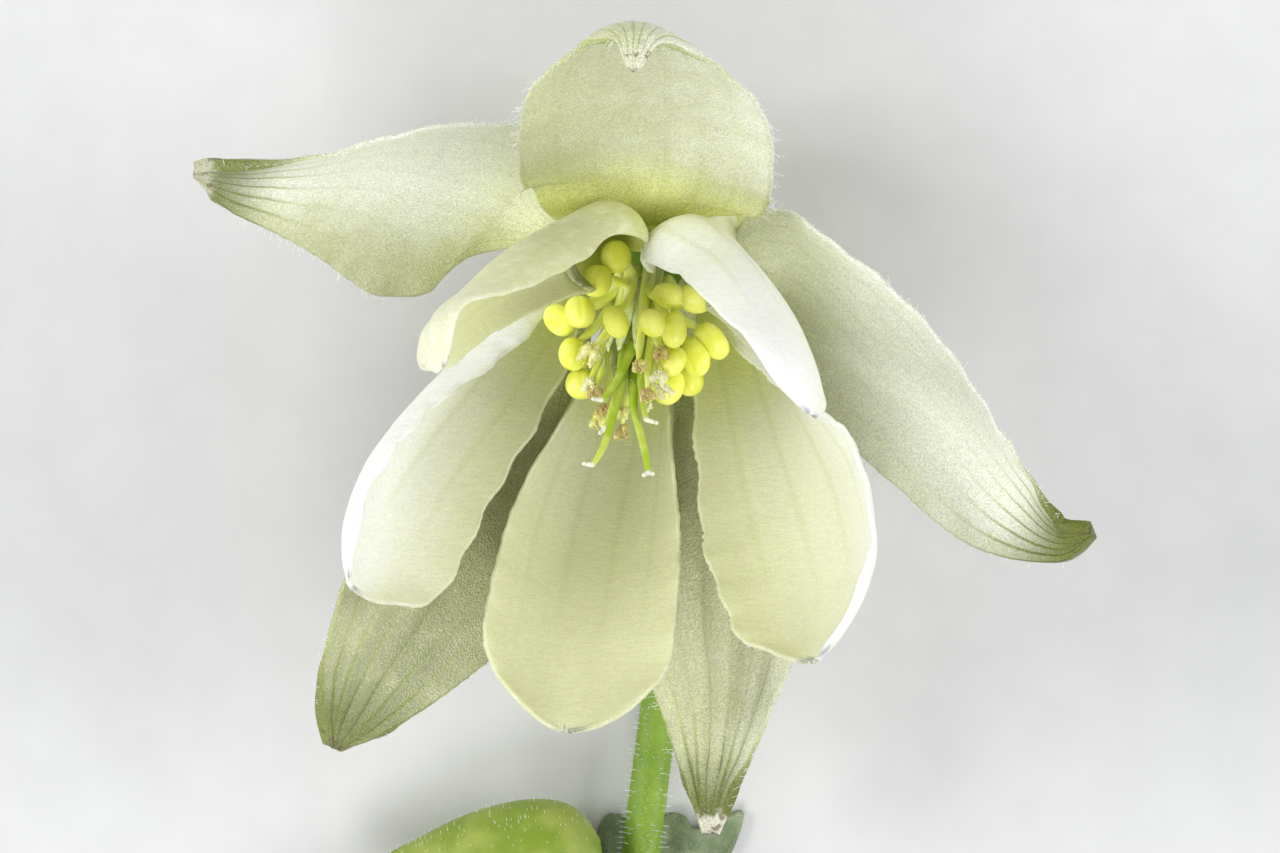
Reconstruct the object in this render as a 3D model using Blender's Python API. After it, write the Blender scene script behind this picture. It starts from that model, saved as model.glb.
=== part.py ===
"""A cut flowering stem of white columbine, lying on its back: an open flower, a bud and a bract.

Lengths are in mm and become metres where a mesh is made. +X is right, +Y is up and +Z faces the
viewer, who looks straight down on the flower. The origin is under the middle of the whole part.
"""

import math

import bmesh
import bpy
import numpy as np

# Driving sizes
MM = 0.001
FLOWER_CENTRE = np.array([-0.07, 20.80, 9.6])
FLOWER_TILT = 48.0
FLOWER_ROLL = -8.0
WALL = 0.6
SEED = 7

# Petals and sepals are rows from the tip to the base, each of six numbers: distance from the
# flower's axis, shift to the side, height along the axis, half width, curl in degrees to each
# side and turn in degrees. A curl of 180 closes the row into a tube.
SPUR = [
    (5.45, 0.0, -0.8, 4.15, 180.0, 0.0),
    (5.20, 0.0, -2.6, 3.60, 180.0, 0.0),
    (5.15, 0.0, -4.8, 2.90, 180.0, 0.0),
    (4.90, 0.0, -7.1, 2.40, 180.0, 0.0),
    (4.20, 0.0, -9.1, 2.10, 180.0, 0.0),
    (3.00, 0.0, -9.9, 1.95, 180.0, 0.0),
    (1.85, 0.0, -9.6, 2.20, 180.0, 0.0),
    (1.25, 0.0, -8.8, 1.60, 180.0, 0.0),
]

# Each petal: azimuth, rows of the blade, length of the rounded tip
PETALS = {
    "petal_upper_left": (
        -36.0,
        [
            (12.95, -0.42, 15.21, 1.63, 16.0, -36.0),
            (13.72, -0.87, 13.48, 2.42, 36.0, -33.0),
            (12.71, -0.62, 11.22, 3.25, 65.0, -28.0),
            (10.88, -0.31, 7.55, 3.61, 85.0, -21.0),
            (8.47, -0.28, 3.99, 3.66, 102.0, -22.0),
            (6.62, 0.28, 1.20, 4.30, 122.0, -17.0),
            (5.9, 0.15, 0.7, 4.0, 130.0, -13.0),
        ],
        2.4,
    ),
    "petal_lower_left": (
        -108.0,
        [
            (11.6, 0.0, 16.4, 4.4, 40.0, 0.0),
            (11.8, 0.0, 14.4, 5.4, 52.0, 0.0),
            (11.2, 0.0, 11.3, 5.8, 64.0, 0.0),
            (9.7, 0.0, 7.6, 5.2, 78.0, 0.0),
            (7.7, 0.0, 4.0, 4.6, 103.0, 0.0),
            (6.05, 0.0, 0.7, 4.1, 130.0, 0.0),
        ],
        4.0,
    ),
    "petal_bottom": (
        180.0,
        [
            (10.2, 0.7, 17.8, 4.0, 35.0, 0.0),
            (9.9, 0.7, 15.2, 4.7, 46.0, 0.0),
            (9.2, 0.7, 12.0, 5.0, 58.0, 0.0),
            (8.4, 0.6, 8.0, 5.0, 75.0, 0.0),
            (7.3, 0.3, 4.0, 4.6, 103.0, 0.0),
            (6.05, 0.0, 0.7, 4.1, 130.0, 0.0),
        ],
        4.0,
    ),
    "petal_lower_right": (
        108.0,
        [
            (10.4, 0.1, 17.2, 4.0, 38.0, 16.0),
            (11.0, 0.1, 15.0, 5.0, 44.0, 16.0),
            (10.8, 0.1, 12.0, 5.6, 50.0, 16.0),
            (9.6, 0.2, 8.0, 6.0, 60.0, 14.0),
            (7.7, 0.1, 4.2, 5.0, 90.0, 6.0),
            (6.05, 0.0, 0.7, 4.1, 130.0, 0.0),
        ],
        4.0,
    ),
    "petal_upper_right": (
        36.0,
        [
            (12.69, 0.45, 14.67, 1.95, 30.0, 15.0),
            (12.76, 0.00, 12.71, 2.90, 45.0, 15.0),
            (11.42, -0.12, 9.42, 3.70, 61.0, 10.0),
            (10.09, -0.07, 6.79, 4.19, 74.0, 11.0),
            (8.40, -0.30, 3.90, 4.15, 95.0, 11.0),
            (6.75, -1.05, 1.30, 4.50, 121.0, 2.0),
            (6.05, -0.25, 0.7, 4.1, 130.0, 8.0),
        ],
        2.6,
    ),
}

# The foot of each sepal, and of the top one
SEPAL_CLAW = [
    (5.3, 0.0, -1.35, 1.2, 20.0, 0.0),
    (3.8, 0.0, -1.8, 0.7, 10.0, 0.0),
    (1.9, 0.0, -2.1, 0.7, 10.0, 0.0),
]
TOP_CLAW = [
    (4.1, 0.0, -0.95, 0.55, 10.0, 0.0),
    (3.1, 0.0, -1.75, 0.55, 10.0, 0.0),
    (1.9, 0.0, -2.1, 0.7, 10.0, 0.0),
]

# Each sepal: azimuth and rows of the blade
SEPALS = {
    "sepal_top": (
        -3.0,
        [
            (21.0, -0.6, 6.6, 0.2, 30.0, 0.0),
            (21.5, -0.6, 5.2, 1.0, 44.0, 0.0),
            (20.8, -0.6, 3.9, 2.4, 46.0, 0.0),
            (19.3, -0.4, 3.1, 3.9, 42.0, 0.0),
            (17.0, -0.2, 2.3, 5.2, 36.0, 0.0),
            (13.6, -0.1, 1.4, 5.8, 32.0, 0.0),
            (10.0, -0.1, 0.5, 5.9, 34.0, 0.0),
            (7.4, 0.0, -0.1, 5.3, 24.0, 0.0),
            (6.6, 0.2, -0.25, 4.4, 16.0, 0.0),
            (6.0, 0.35, -0.35, 2.75, 10.0, 0.0),
            (5.2, 0.05, -0.5, 1.0, 10.0, 0.0),
        ]
        + TOP_CLAW,
    ),
    "sepal_left": (
        -70.0,
        [
            (21.5, -0.5, 2.9, 0.3, 30.0, 0.0),
            (20.4, -0.1, 2.9, 1.4, 44.0, 0.0),
            (17.5, 0.2, 2.0, 2.9, 34.0, 0.0),
            (13.9, 0.3, 0.1, 5.3, 26.0, 0.0),
            (10.4, 0.2, -1.0, 6.8, 22.0, 0.0),
            (7.7, 0.0, -1.5, 5.8, 16.0, 0.0),
            (6.9, -0.1, -1.7, 3.2, 8.0, 0.0),
        ]
        + SEPAL_CLAW,
    ),
    "sepal_right": (
        72.0,
        [
            (20.2, 6.2, 10.8, 0.3, 34.0, 20.0),
            (18.6, 6.5, 10.7, 1.3, 34.0, 20.0),
            (16.2, 5.35, 9.0, 3.25, 30.0, 22.0),
            (13.2, 2.95, 5.8, 4.55, 24.0, 22.0),
            (10.0, 1.2, 2.5, 4.9, 20.0, 18.0),
            (7.7, 0.2, -0.1, 4.4, 18.0, 10.0),
            (6.6, 0.0, -0.95, 3.4, 12.0, 4.0),
        ]
        + SEPAL_CLAW,
    ),
    "sepal_lower_left": (
        -144.0,
        [
            (18.8, 0.0, 16.7, 0.4, 30.0, 0.0),
            (17.8, 0.2, 15.8, 1.7, 30.0, 0.0),
            (15.8, 0.5, 14.2, 3.1, 26.0, 0.0),
            (12.8, 0.6, 11.6, 4.5, 22.0, 0.0),
            (10.6, 0.3, 8.8, 5.3, 20.0, 0.0),
            (9.2, 0.0, 5.4, 5.2, 20.0, 0.0),
            (7.6, 0.0, 1.6, 3.8, 20.0, 0.0),
        ]
        + SEPAL_CLAW,
    ),
    "sepal_bottom": (
        144.0,
        [
            (17.8, 4.9, 17.0, 0.3, 30.0, 0.0),
            (16.8, 4.3, 15.0, 1.5, 28.0, 0.0),
            (14.7, 3.1, 11.8, 3.2, 24.0, 0.0),
            (12.0, 2.0, 9.2, 4.6, 20.0, 0.0),
            (9.8, 1.0, 6.2, 4.8, 20.0, 0.0),
            (7.8, 0.4, 2.0, 3.6, 20.0, 0.0),
        ]
        + SEPAL_CLAW,
    ),
}

# Stamens: azimuth, distance from the axis and height of each anther, and for the open ones
# how far from the axis the filament bends
PLUMP_RING = (1.7, -0.5, 0.3)
PLUMP_STAMENS = [
    (-9.0, 2.85, 2.2),
    (-35.0, 3.05, 2.5),
    (-66.0, 3.8, 3.9),
    (-62.0, 3.0, 3.3),
    (-30.0, 2.9, 4.3),
    (-80.0, 2.9, 5.0),
    (-85.0, 2.6, 5.9),
    (26.0, 3.2, 3.2),
    (28.0, 3.5, 2.9),
    (17.0, 3.8, 4.9),
    (27.0, 3.5, 4.8),
    (67.0, 3.7, 3.6),
    (76.0, 3.1, 4.3),
    (67.0, 2.7, 4.9),
    (82.0, 2.4, 6.2),
    (97.0, 2.9, 5.1),
]
OPEN_RING = (1.35, 0.45, 0.25)
OPEN_STAMENS = [
    (-119.0, 2.4, 3.4, 2.75),
    (-108.0, 2.6, 4.2, 2.75),
    (-142.0, 2.7, 4.5, 2.75),
    (-161.0, 3.6, 5.1, 2.75),
    (-176.0, 3.5, 4.6, 2.75),
    (178.0, 4.1, 5.5, 2.75),
    (-26.0, 1.75, 6.4, 1.8),
    (47.0, 2.05, 7.0, 2.75),
    (149.0, 2.8, 4.6, 2.75),
    (135.0, 3.3, 5.4, 2.75),
    (-171.0, 3.0, 4.4, 2.75),
]

# Height where the sheath round the pistils begins
SHEATH_FOOT = 1.6

# Pistils: azimuth at the base, then azimuth, distance and height of the style's hooked tip
CARPELS = [
    (0.0, -62.0, 1.4, 7.5),
    (72.0, 78.0, 1.3, 8.0),
    (144.0, 88.0, 1.5, 10.9),
    (-144.0, -94.0, 1.6, 10.9),
    (-72.0, -116.0, 1.3, 8.0),
]

# The stem from its cut end to the back of the flower: right, up, toward the viewer, radius.
# Places are from the flower's centre.
STEM_PATH = [
    (-1.8, -53.0, -8.73, 0.95),
    (-1.7, -48.0, -8.73, 0.95),
    (-1.5, -43.0, -8.70, 0.95),
    (-1.1, -37.0, -8.2, 0.95),
    (-0.6, -32.6, -7.65, 0.96),
    (-0.4, -31.2, -7.5, 1.0),
    (-0.35, -30.0, -7.5, 0.95),
    (-0.1, -26.4, -7.6, 0.92),
    (0.8, -19.2, -8.2, 0.9),
    (2.0, -10.0, -8.6, 0.9),
    (2.8, -3.6, -8.7, 0.9),
    (3.2, -0.4, -8.3, 0.9),
    (2.9, 1.6, -6.9, 0.9),
    (1.9, 2.7, -5.2, 0.9),
    (0.9, 2.95, -3.7, 0.9),
    (0.38, 2.55, -2.5, 0.9),
    (0.29, 2.05, -1.86, 1.2),
    (0.22, 1.55, -1.41, 1.75),
    (0.12, 0.88, -0.80, 1.7),
]
BUD_STALK = [
    (-0.4, -31.3, -7.75, 0.6),
    (-0.5, -30.4, -6.8, 0.55),
    (-0.5, -29.2, -5.7, 0.5),
    (-0.7, -27.9, -5.1, 0.5),
    (-0.95, -26.9, -5.6, 0.55),
    (-1.05, -26.7, -5.85, 0.55),
]

# The bud: its base, the way it points and its radius along its length
BUD_BASE = (-1.9, -26.5, -6.4)
BUD_TURN = 187.0
BUD_PROFILE = [
    (0.0, 0.9),
    (0.5, 1.9),
    (1.3, 2.75),
    (2.8, 3.2),
    (4.6, 3.15),
    (6.5, 2.75),
    (8.5, 2.0),
    (9.9, 1.45),
    (11.2, 0.8),
    (12.2, 0.25),
]

# The bract lies under the stem: direction in degrees and reach of its three lobes
BRACT_BASE = (0.0, -31.3, -9.29)
BRACT_EDGE = [
    (38.0, 1.2),
    (46.0, 4.2),
    (50.0, 6.6),
    (55.0, 8.2),
    (60.0, 7.2),
    (68.0, 6.4),
    (74.0, 6.8),
    (80.0, 6.7),
    (86.0, 5.9),
    (93.0, 6.1),
    (100.0, 6.7),
    (106.0, 6.7),
    (114.0, 5.4),
    (128.0, 3.2),
    (145.0, 1.2),
]


def unit(vectors):
    vectors = np.asarray(vectors, float)
    return vectors / np.linalg.norm(vectors, axis=-1, keepdims=True)


def flower_axes():
    """The flower's own right, up and forward directions in the part's frame."""
    tilt = math.radians(FLOWER_TILT)
    roll = math.radians(FLOWER_ROLL)
    turn = np.array(
        [
            [math.cos(roll), -math.sin(roll), 0.0],
            [math.sin(roll), math.cos(roll), 0.0],
            [0.0, 0.0, 1.0],
        ]
    )
    side = turn @ np.array([1.0, 0.0, 0.0])
    up = turn @ np.array([0.0, math.cos(tilt), math.sin(tilt)])
    forward = turn @ np.array([0.0, -math.sin(tilt), math.cos(tilt)])
    return side, up, forward


SIDE, UP, FORWARD = flower_axes()


def out_and_across(azimuth):
    """The directions away from the flower's axis and round it, at this azimuth in degrees."""
    angle = math.radians(azimuth)
    out = math.sin(angle) * SIDE + math.cos(angle) * UP
    across = math.cos(angle) * SIDE - math.sin(angle) * UP
    return out, across


def in_flower(azimuth, places):
    """Points given as distance from the axis, shift to the side and height along the axis."""
    out, across = out_and_across(azimuth)
    places = np.asarray(places, float)
    return (
        FLOWER_CENTRE
        + places[..., 0:1] * out
        + places[..., 1:2] * across
        + places[..., 2:3] * FORWARD
    )


def smooth(controls, stations):
    """A smooth curve through rows of numbers, read at stations from 0 to 1 of its length."""
    controls = np.asarray(controls, float)
    steps = np.linalg.norm(np.diff(controls[:, :3], axis=0), axis=1)
    knots = np.concatenate([[0.0], np.cumsum(steps)])
    slopes = np.empty_like(controls)
    slopes[1:-1] = (controls[2:] - controls[:-2]) / (knots[2:] - knots[:-2])[:, None]
    slopes[0] = (controls[1] - controls[0]) / steps[0]
    slopes[-1] = (controls[-1] - controls[-2]) / steps[-1]
    wanted = np.asarray(stations) * knots[-1]
    index = np.clip(np.searchsorted(knots, wanted, side="right") - 1, 0, len(steps) - 1)
    length = steps[index][:, None]
    t = ((wanted - knots[index])[:, None]) / length
    first, last = controls[index], controls[index + 1]
    first_slope = slopes[index] * length
    last_slope = slopes[index + 1] * length
    return (
        (2 * t**3 - 3 * t**2 + 1) * first
        + (t**3 - 2 * t**2 + t) * first_slope
        + (3 * t**2 - 2 * t**3) * last
        + (t**3 - t**2) * last_slope
    )


def curled_sheet(azimuth, rows, stations, columns, tip_round=0.0, wave=0.0):
    """A grid of points for a petal or sepal, and the number of rows left open before the tube."""
    fine = smooth(rows, stations)
    spine = in_flower(azimuth, fine[:, :3])
    along = unit(np.gradient(spine, axis=0))
    across = out_and_across(azimuth)[1]
    sideways = unit(across - (along @ across)[:, None] * along)
    inward = np.cross(along, sideways)
    turn = np.radians(fine[:, 5:6])
    sideways, inward = (
        np.cos(turn) * sideways + np.sin(turn) * inward,
        np.cos(turn) * inward - np.sin(turn) * sideways,
    )
    run = np.concatenate([[0.0], np.cumsum(np.linalg.norm(np.diff(spine, axis=0), axis=1))])
    half = fine[:, 3].copy()
    if tip_round:
        near = np.clip(1 - (run + 0.25) / tip_round, 0.0, 1.0)
        half *= np.sqrt(1 - near**2)
    curl = np.radians(np.clip(fine[:, 4], 1.0, 180.0))
    closed = fine[:, 4] > 179.0
    curl[closed] = math.pi
    share = np.linspace(-1.0, 1.0, columns)
    radius = (half / curl)[:, None]
    angle = curl[:, None] * share
    sheet = (
        spine[:, None]
        + (radius * np.sin(angle))[..., None] * sideways[:, None]
        + (radius * (1 - np.cos(angle)))[..., None] * inward[:, None]
    )
    ripple = wave * np.sin(run * 2.3)[:, None] * share**4 * np.sign(share)
    ripple[closed] = 0.0
    sheet += ripple[..., None] * inward[:, None]
    return sheet, int(np.argmax(closed)) if closed.any() else len(stations)


def sheet_faces(sheet, open_rows):
    """Triangles over a grid whose rows from open_rows on are closed tubes, capped at the end."""
    rows, columns = sheet.shape[:2]
    numbers = np.arange(rows * columns).reshape(rows, columns)
    numbers[open_rows:, -1] = numbers[open_rows:, 0]
    points = list(sheet.reshape(-1, 3))
    faces = []
    for row in range(rows - 1):
        for column in range(columns - 1):
            a, b = numbers[row, column], numbers[row, column + 1]
            c, d = numbers[row + 1, column + 1], numbers[row + 1, column]
            faces += [(a, b, c), (a, c, d)]
    if open_rows < rows:
        ring = numbers[-1]
        middle = sheet[-1, :-1].mean(axis=0)
        beyond = unit(middle - sheet[-2, :-1].mean(axis=0))
        reach = 0.6 * np.linalg.norm(sheet[-1, 0] - middle)
        points.append(middle + reach * beyond)
        for column in range(columns - 1):
            faces.append((ring[column], ring[column + 1], len(points) - 1))
    used = sorted({number for face in faces for number in face})
    place = {number: index for index, number in enumerate(used)}
    return (
        np.array([points[number] for number in used]),
        [tuple(place[number] for number in face) for face in faces],
    )


def bowed(start, middle, end, count):
    """A curve from start to end that leans toward middle."""
    t = np.linspace(0.0, 1.0, count)[:, None]
    start, middle, end = (np.asarray(place, float) for place in (start, middle, end))
    return (1 - t) ** 2 * start + 2 * t * (1 - t) * middle + t**2 * end


def tube(path, radii, sides, down=(0.0, 0.0, -1.0)):
    """A closed round tube along a path, with a side of its cross-section facing down."""
    path = np.asarray(path, float)
    radii = np.broadcast_to(np.asarray(radii, float), len(path))
    along = unit(np.gradient(path, axis=0))
    points = []
    reference = np.asarray(down, float)
    for centre, radius, forward in zip(path, radii, along):
        reference = unit(reference - reference.dot(forward) * forward)
        other = np.cross(forward, reference)
        for side in range(sides):
            angle = 2 * math.pi * (side + 0.5) / sides
            points.append(centre + radius * (math.cos(angle) * reference + math.sin(angle) * other))
    faces = []
    for ring in range(len(path) - 1):
        for side in range(sides):
            a, b = ring * sides + side, ring * sides + (side + 1) % sides
            faces += [(a, b, b + sides), (a, b + sides, a + sides)]
    last = (len(path) - 1) * sides
    faces.append(tuple(reversed(range(sides))))
    faces.append(tuple(range(last, last + sides)))
    return np.array(points), faces


def blob(centre, axis, length, width, rings, sides):
    """A closed egg shape, with these half sizes along and across its axis."""
    share = np.linspace(0.0, math.pi, rings + 2)
    path = np.asarray(centre, float) - np.cos(share)[:, None] * length * unit(axis)
    radii = np.maximum(width * np.sin(share), 0.12 * width)
    return tube(path, radii, sides, (0.31, 0.52, -0.79))


def ring(size, sides, around):
    """A torus on the flower's axis: distance from the axis, height and thickness."""
    far, height, thick = size
    points = []
    faces = []
    for turn in range(around):
        azimuth = 360.0 * turn / around
        for side in range(sides):
            angle = 2 * math.pi * side / sides
            place = (far + thick * math.cos(angle), 0.0, height + thick * math.sin(angle))
            points.append(in_flower(azimuth, place))
            a, b = turn * sides + side, turn * sides + (side + 1) % sides
            c, d = (a + sides) % (around * sides), (b + sides) % (around * sides)
            faces.append((a, c, d, b))
    return np.array(points), faces


def stamen(root, bend, azimuth, far, height, open_anther, chance):
    """A filament and its two-lobed anther, as a list of closed shapes."""
    anther = in_flower(azimuth, (far, 0.0, height))
    start = in_flower(azimuth, (root[0], 0.0, root[1]))
    lean = in_flower(azimuth, (bend[0], 0.0, bend[1]))
    thread = bowed(start, lean, anther, 5)
    across = out_and_across(azimuth)[1]
    outward = out_and_across(azimuth)[0]
    axis = unit(thread[-1] - thread[-2] + 0.5 * across * chance.uniform(-1.0, 1.0))
    lobe = unit(np.cross(axis, outward + 0.4 * chance.uniform(-1.0, 1.0) * across))
    if open_anther:
        length, width, apart = 0.52, 0.34, 0.26
    else:
        length, width, apart = 0.92, 0.56, 0.26
    thread[-1] = anther - 0.35 * length * axis
    shapes = [tube(thread, 0.25, 5)]
    for way in (-1.0, 1.0):
        middle = anther + way * apart * lobe
        shapes.append(blob(middle, axis + way * 0.08 * lobe, length, width, 3, 6))
    return shapes


def carpel(azimuth, tip_azimuth, far, height):
    """A carpel with its style, bent outward into a small hooked stigma."""
    tip = in_flower(tip_azimuth, (far, 0.0, height))
    outward = out_and_across(tip_azimuth)[0]
    path = [
        in_flower(azimuth, (0.25, 0.0, -0.5)),
        in_flower(azimuth, (0.36, 0.0, 0.8)),
        in_flower(azimuth, (0.40, 0.0, 2.6)),
        in_flower(azimuth, (0.40, 0.0, 4.4)),
    ]
    neck = in_flower(azimuth, (0.45, 0.0, 5.2))
    style = bowed(neck, 0.45 * neck + 0.55 * tip - 0.35 * outward, tip, 5)
    path = np.concatenate([path, style, [tip + 0.35 * outward + 0.10 * FORWARD]])
    radii = [0.32, 0.35, 0.35, 0.32, 0.27, 0.24, 0.23, 0.22, 0.24, 0.27]
    return tube(path, radii, 8)


def sheath(stations, columns):
    """The ruffled pale sheath round the carpels, open on the side toward the viewer."""
    share = np.linspace(0.0, 1.0, columns)
    azimuths = -6.0 + 306.0 * share
    sheet = np.empty((stations, columns, 3))
    for row, level in enumerate(np.linspace(0.0, 1.0, stations)):
        for column, azimuth in enumerate(azimuths):
            ruffle = math.sin(math.radians(azimuth * 9.0))
            top = 4.2 + 0.35 * math.sin(math.radians(azimuth * 5.0 + 40.0))
            far = 1.28 + 0.12 * level + 0.07 * level**2 * ruffle
            place = (far, 0.0, SHEATH_FOOT + (top - SHEATH_FOOT) * level)
            sheet[row, column] = in_flower(azimuth, place)
    return sheet


def bud_shape(stations, sides):
    """The closed bud, with five shallow furrows."""
    profile = np.array([(s, 0.0, 0.0, r) for s, r in BUD_PROFILE])
    fine = smooth(profile, np.linspace(0.0, 1.0, stations))
    turn = math.radians(BUD_TURN)
    along = np.array([math.cos(turn), math.sin(turn), 0.0])
    path = FLOWER_CENTRE + np.array(BUD_BASE) + fine[:, 0:1] * along
    points, faces = tube(path, fine[:, 3], sides)
    for number in range(len(points)):
        level, side = divmod(number, sides)
        angle = 2 * math.pi * (side + 0.5) / sides
        depth = 0.06 * math.sin(math.pi * min(1.0, fine[level, 0] / 11.0))
        centre = path[level]
        points[number] = centre + (points[number] - centre) * (
            1 - depth * (1 + math.cos(5 * angle)) / 2
        )
    return points, faces


def bract_sheet(stations, columns):
    """The bract's three lobes as a grid that fans out from its base."""
    edge = np.array([(angle, 0.0, 0.0, reach) for angle, reach in BRACT_EDGE])
    fine = smooth(edge, np.linspace(0.0, 1.0, columns))
    sheet = np.empty((stations, columns, 3))
    for row, level in enumerate(np.linspace(0.08, 1.0, stations)):
        for column, (angle, _, _, reach) in enumerate(fine):
            direction = math.radians(angle)
            fold = 0.25 * level**2 * (1 - math.cos(math.radians((angle - 79.0) * 14.0)))
            clear = np.clip(abs(angle - 88.0) / 24.0, 0.0, 1.0)
            place = np.array(
                [
                    level * reach * math.cos(direction),
                    level * reach * math.sin(direction),
                    fold * clear,
                ]
            )
            sheet[row, column] = FLOWER_CENTRE + np.array(BRACT_BASE) + place
    return sheet


# Blender part

def material(name, colour, roughness):
    made = bpy.data.materials.new(name)
    made.use_nodes = True
    shader = made.node_tree.nodes["Principled BSDF"]
    shader.inputs["Base Color"].default_value = (*colour, 1.0)
    shader.inputs["Roughness"].default_value = roughness
    made.diffuse_color = (*colour, 1.0)
    return made


def new_object(name, points, faces, collection=None):
    """A mesh object in metres, facing outward where it is closed."""
    mesh = bpy.data.meshes.new(name)
    mesh.from_pydata([tuple(point * MM) for point in np.asarray(points)], [], faces)
    mesh.update()
    made = bpy.data.objects.new(name, mesh)
    (collection or bpy.context.scene.collection).objects.link(made)
    return made


def face_out(made):
    shape = bmesh.new()
    shape.from_mesh(made.data)
    bmesh.ops.recalc_face_normals(shape, faces=shape.faces)
    shape.to_mesh(made.data)
    shape.free()


def finish(made, paint):
    made.data.materials.clear()
    made.data.materials.append(paint)
    for polygon in made.data.polygons:
        polygon.use_smooth = True
    return made


def sheet_object(name, points, faces, paint):
    """A thin blade: the surface thickened to the wall to both sides."""
    made = new_object(name, points, faces)
    thicken = made.modifiers.new("Wall", "SOLIDIFY")
    thicken.thickness = WALL * MM
    thicken.offset = 0.0
    return finish(made, paint)


def grid_object(name, sheet, paint):
    points, faces = sheet_faces(sheet, len(sheet))
    return sheet_object(name, points, faces, paint)


def joined(name, shapes, paint):
    """Closed shapes fused into one body by one Boolean union."""
    helpers = bpy.data.collections.new(name + "_shapes")
    bpy.context.scene.collection.children.link(helpers)
    base = new_object(name, *shapes[0])
    face_out(base)
    for number, (points, faces) in enumerate(shapes[1:]):
        face_out(new_object(f"{name}_{number}", points, faces, helpers))
    union = base.modifiers.new("Union", "BOOLEAN")
    union.operation = "UNION"
    union.operand_type = "COLLECTION"
    union.collection = helpers
    union.solver = "MANIFOLD"
    bpy.context.view_layer.update()
    graph = bpy.context.evaluated_depsgraph_get()
    fused = bpy.data.meshes.new_from_object(base.evaluated_get(graph))
    base.modifiers.clear()
    base.data = fused
    for helper in list(helpers.objects):
        bpy.data.objects.remove(helper)
    bpy.data.collections.remove(helpers)
    return finish(base, paint)


def build_petals(paint):
    stations = np.linspace(0.0, 1.0, 23)
    for name, (azimuth, rows, tip_round) in PETALS.items():
        sheet, open_rows = curled_sheet(azimuth, rows + SPUR, stations, 9, tip_round, 0.12)
        sheet_object(name, *sheet_faces(sheet, open_rows), paint)


def build_sepals(paint):
    stations = np.linspace(0.0, 1.0, 17)
    for name, (azimuth, rows) in SEPALS.items():
        sheet, open_rows = curled_sheet(azimuth, rows, stations, 9)
        sheet_object(name, *sheet_faces(sheet, open_rows), paint)


def build_stamens(plump_paint, open_paint):
    chance = np.random.default_rng(SEED)
    plump = [ring(PLUMP_RING, 5, 16)]
    for place in PLUMP_STAMENS:
        plump += stamen(PLUMP_RING, (2.3, 0.5 * place[2]), *place, False, chance)
    joined("stamens_plump", plump, plump_paint)
    opened = [ring(OPEN_RING, 5, 16)]
    for place in OPEN_STAMENS:
        bend = (place[3], 0.3 * place[2])
        opened += stamen(OPEN_RING, bend, *place[:3], True, chance)
    joined("stamens_open", opened, open_paint)


def build_stem(paint):
    path = np.array(STEM_PATH)
    fine = smooth(path, np.linspace(0.0, 1.0, 36))
    points, faces = tube(fine[:, :3] + FLOWER_CENTRE, fine[:, 3], 12)
    points[:, 2] = np.maximum(points[:, 2], 0.0)
    stalk = smooth(np.array(BUD_STALK), np.linspace(0.0, 1.0, 12))
    shapes = [(points, faces), tube(stalk[:, :3] + FLOWER_CENTRE, stalk[:, 3], 8)]
    joined("stem", shapes, paint)


def main():
    for old in list(bpy.data.objects):
        bpy.data.objects.remove(old)
    petal_white = material("petal_white", (0.86, 0.87, 0.68), 0.5)
    sepal_white = material("sepal_white", (0.80, 0.82, 0.66), 0.45)
    lemon = material("anther_lemon", (0.72, 0.74, 0.10), 0.4)
    tan = material("anther_tan", (0.66, 0.58, 0.24), 0.7)
    pale = material("staminode_pale", (0.66, 0.72, 0.42), 0.4)
    carpel_green = material("carpel_green", (0.35, 0.55, 0.08), 0.5)
    stem_green = material("stem_green", (0.20, 0.45, 0.05), 0.55)
    bud_green = material("bud_green", (0.42, 0.55, 0.12), 0.55)
    bract_green = material("bract_green", (0.16, 0.22, 0.14), 0.7)
    build_petals(petal_white)
    build_sepals(sepal_white)
    build_stamens(lemon, tan)
    grid_object("staminodes", sheath(5, 35), pale)
    core = tube(in_flower(0.0, [(0.0, 0.0, -0.8), (0.0, 0.0, 0.9)]), 0.62, 10, SIDE)
    joined("pistils", [core] + [carpel(*place) for place in CARPELS], carpel_green)
    build_stem(stem_green)
    points, faces = bud_shape(14, 20)
    bud = new_object("bud", points, faces)
    face_out(bud)
    finish(bud, bud_green)
    grid_object("bract", bract_sheet(5, 29), bract_green)


main()
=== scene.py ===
"""Looks of the columbine stem: fine petals, sepals, stamens, hairs and colours round the solids.

Lengths are in mm and become metres where a mesh is made. +X is right, +Y is up and +Z faces the
viewer, as in the solids.
"""

import math

import bpy
import numpy as np
from mathutils import Matrix, Vector


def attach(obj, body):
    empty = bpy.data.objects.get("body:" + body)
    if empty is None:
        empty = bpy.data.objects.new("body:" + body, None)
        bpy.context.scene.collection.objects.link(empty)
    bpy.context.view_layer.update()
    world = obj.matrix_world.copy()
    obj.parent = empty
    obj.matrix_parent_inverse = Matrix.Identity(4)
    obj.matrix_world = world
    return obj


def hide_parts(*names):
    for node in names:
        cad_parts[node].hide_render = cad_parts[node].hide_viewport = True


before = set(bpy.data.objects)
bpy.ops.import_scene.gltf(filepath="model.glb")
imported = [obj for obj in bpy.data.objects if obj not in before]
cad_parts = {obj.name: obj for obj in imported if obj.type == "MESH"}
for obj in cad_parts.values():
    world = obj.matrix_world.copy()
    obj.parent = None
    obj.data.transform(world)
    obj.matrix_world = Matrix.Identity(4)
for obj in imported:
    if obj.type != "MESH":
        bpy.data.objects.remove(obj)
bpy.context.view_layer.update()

# Driving sizes
MM = 0.001
FLOWER_CENTRE = np.array([-0.07, 20.80, 9.6])
FLOWER_TILT = 48.0
FLOWER_ROLL = -8.0
WALL = 0.6
SEED = 7

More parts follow.
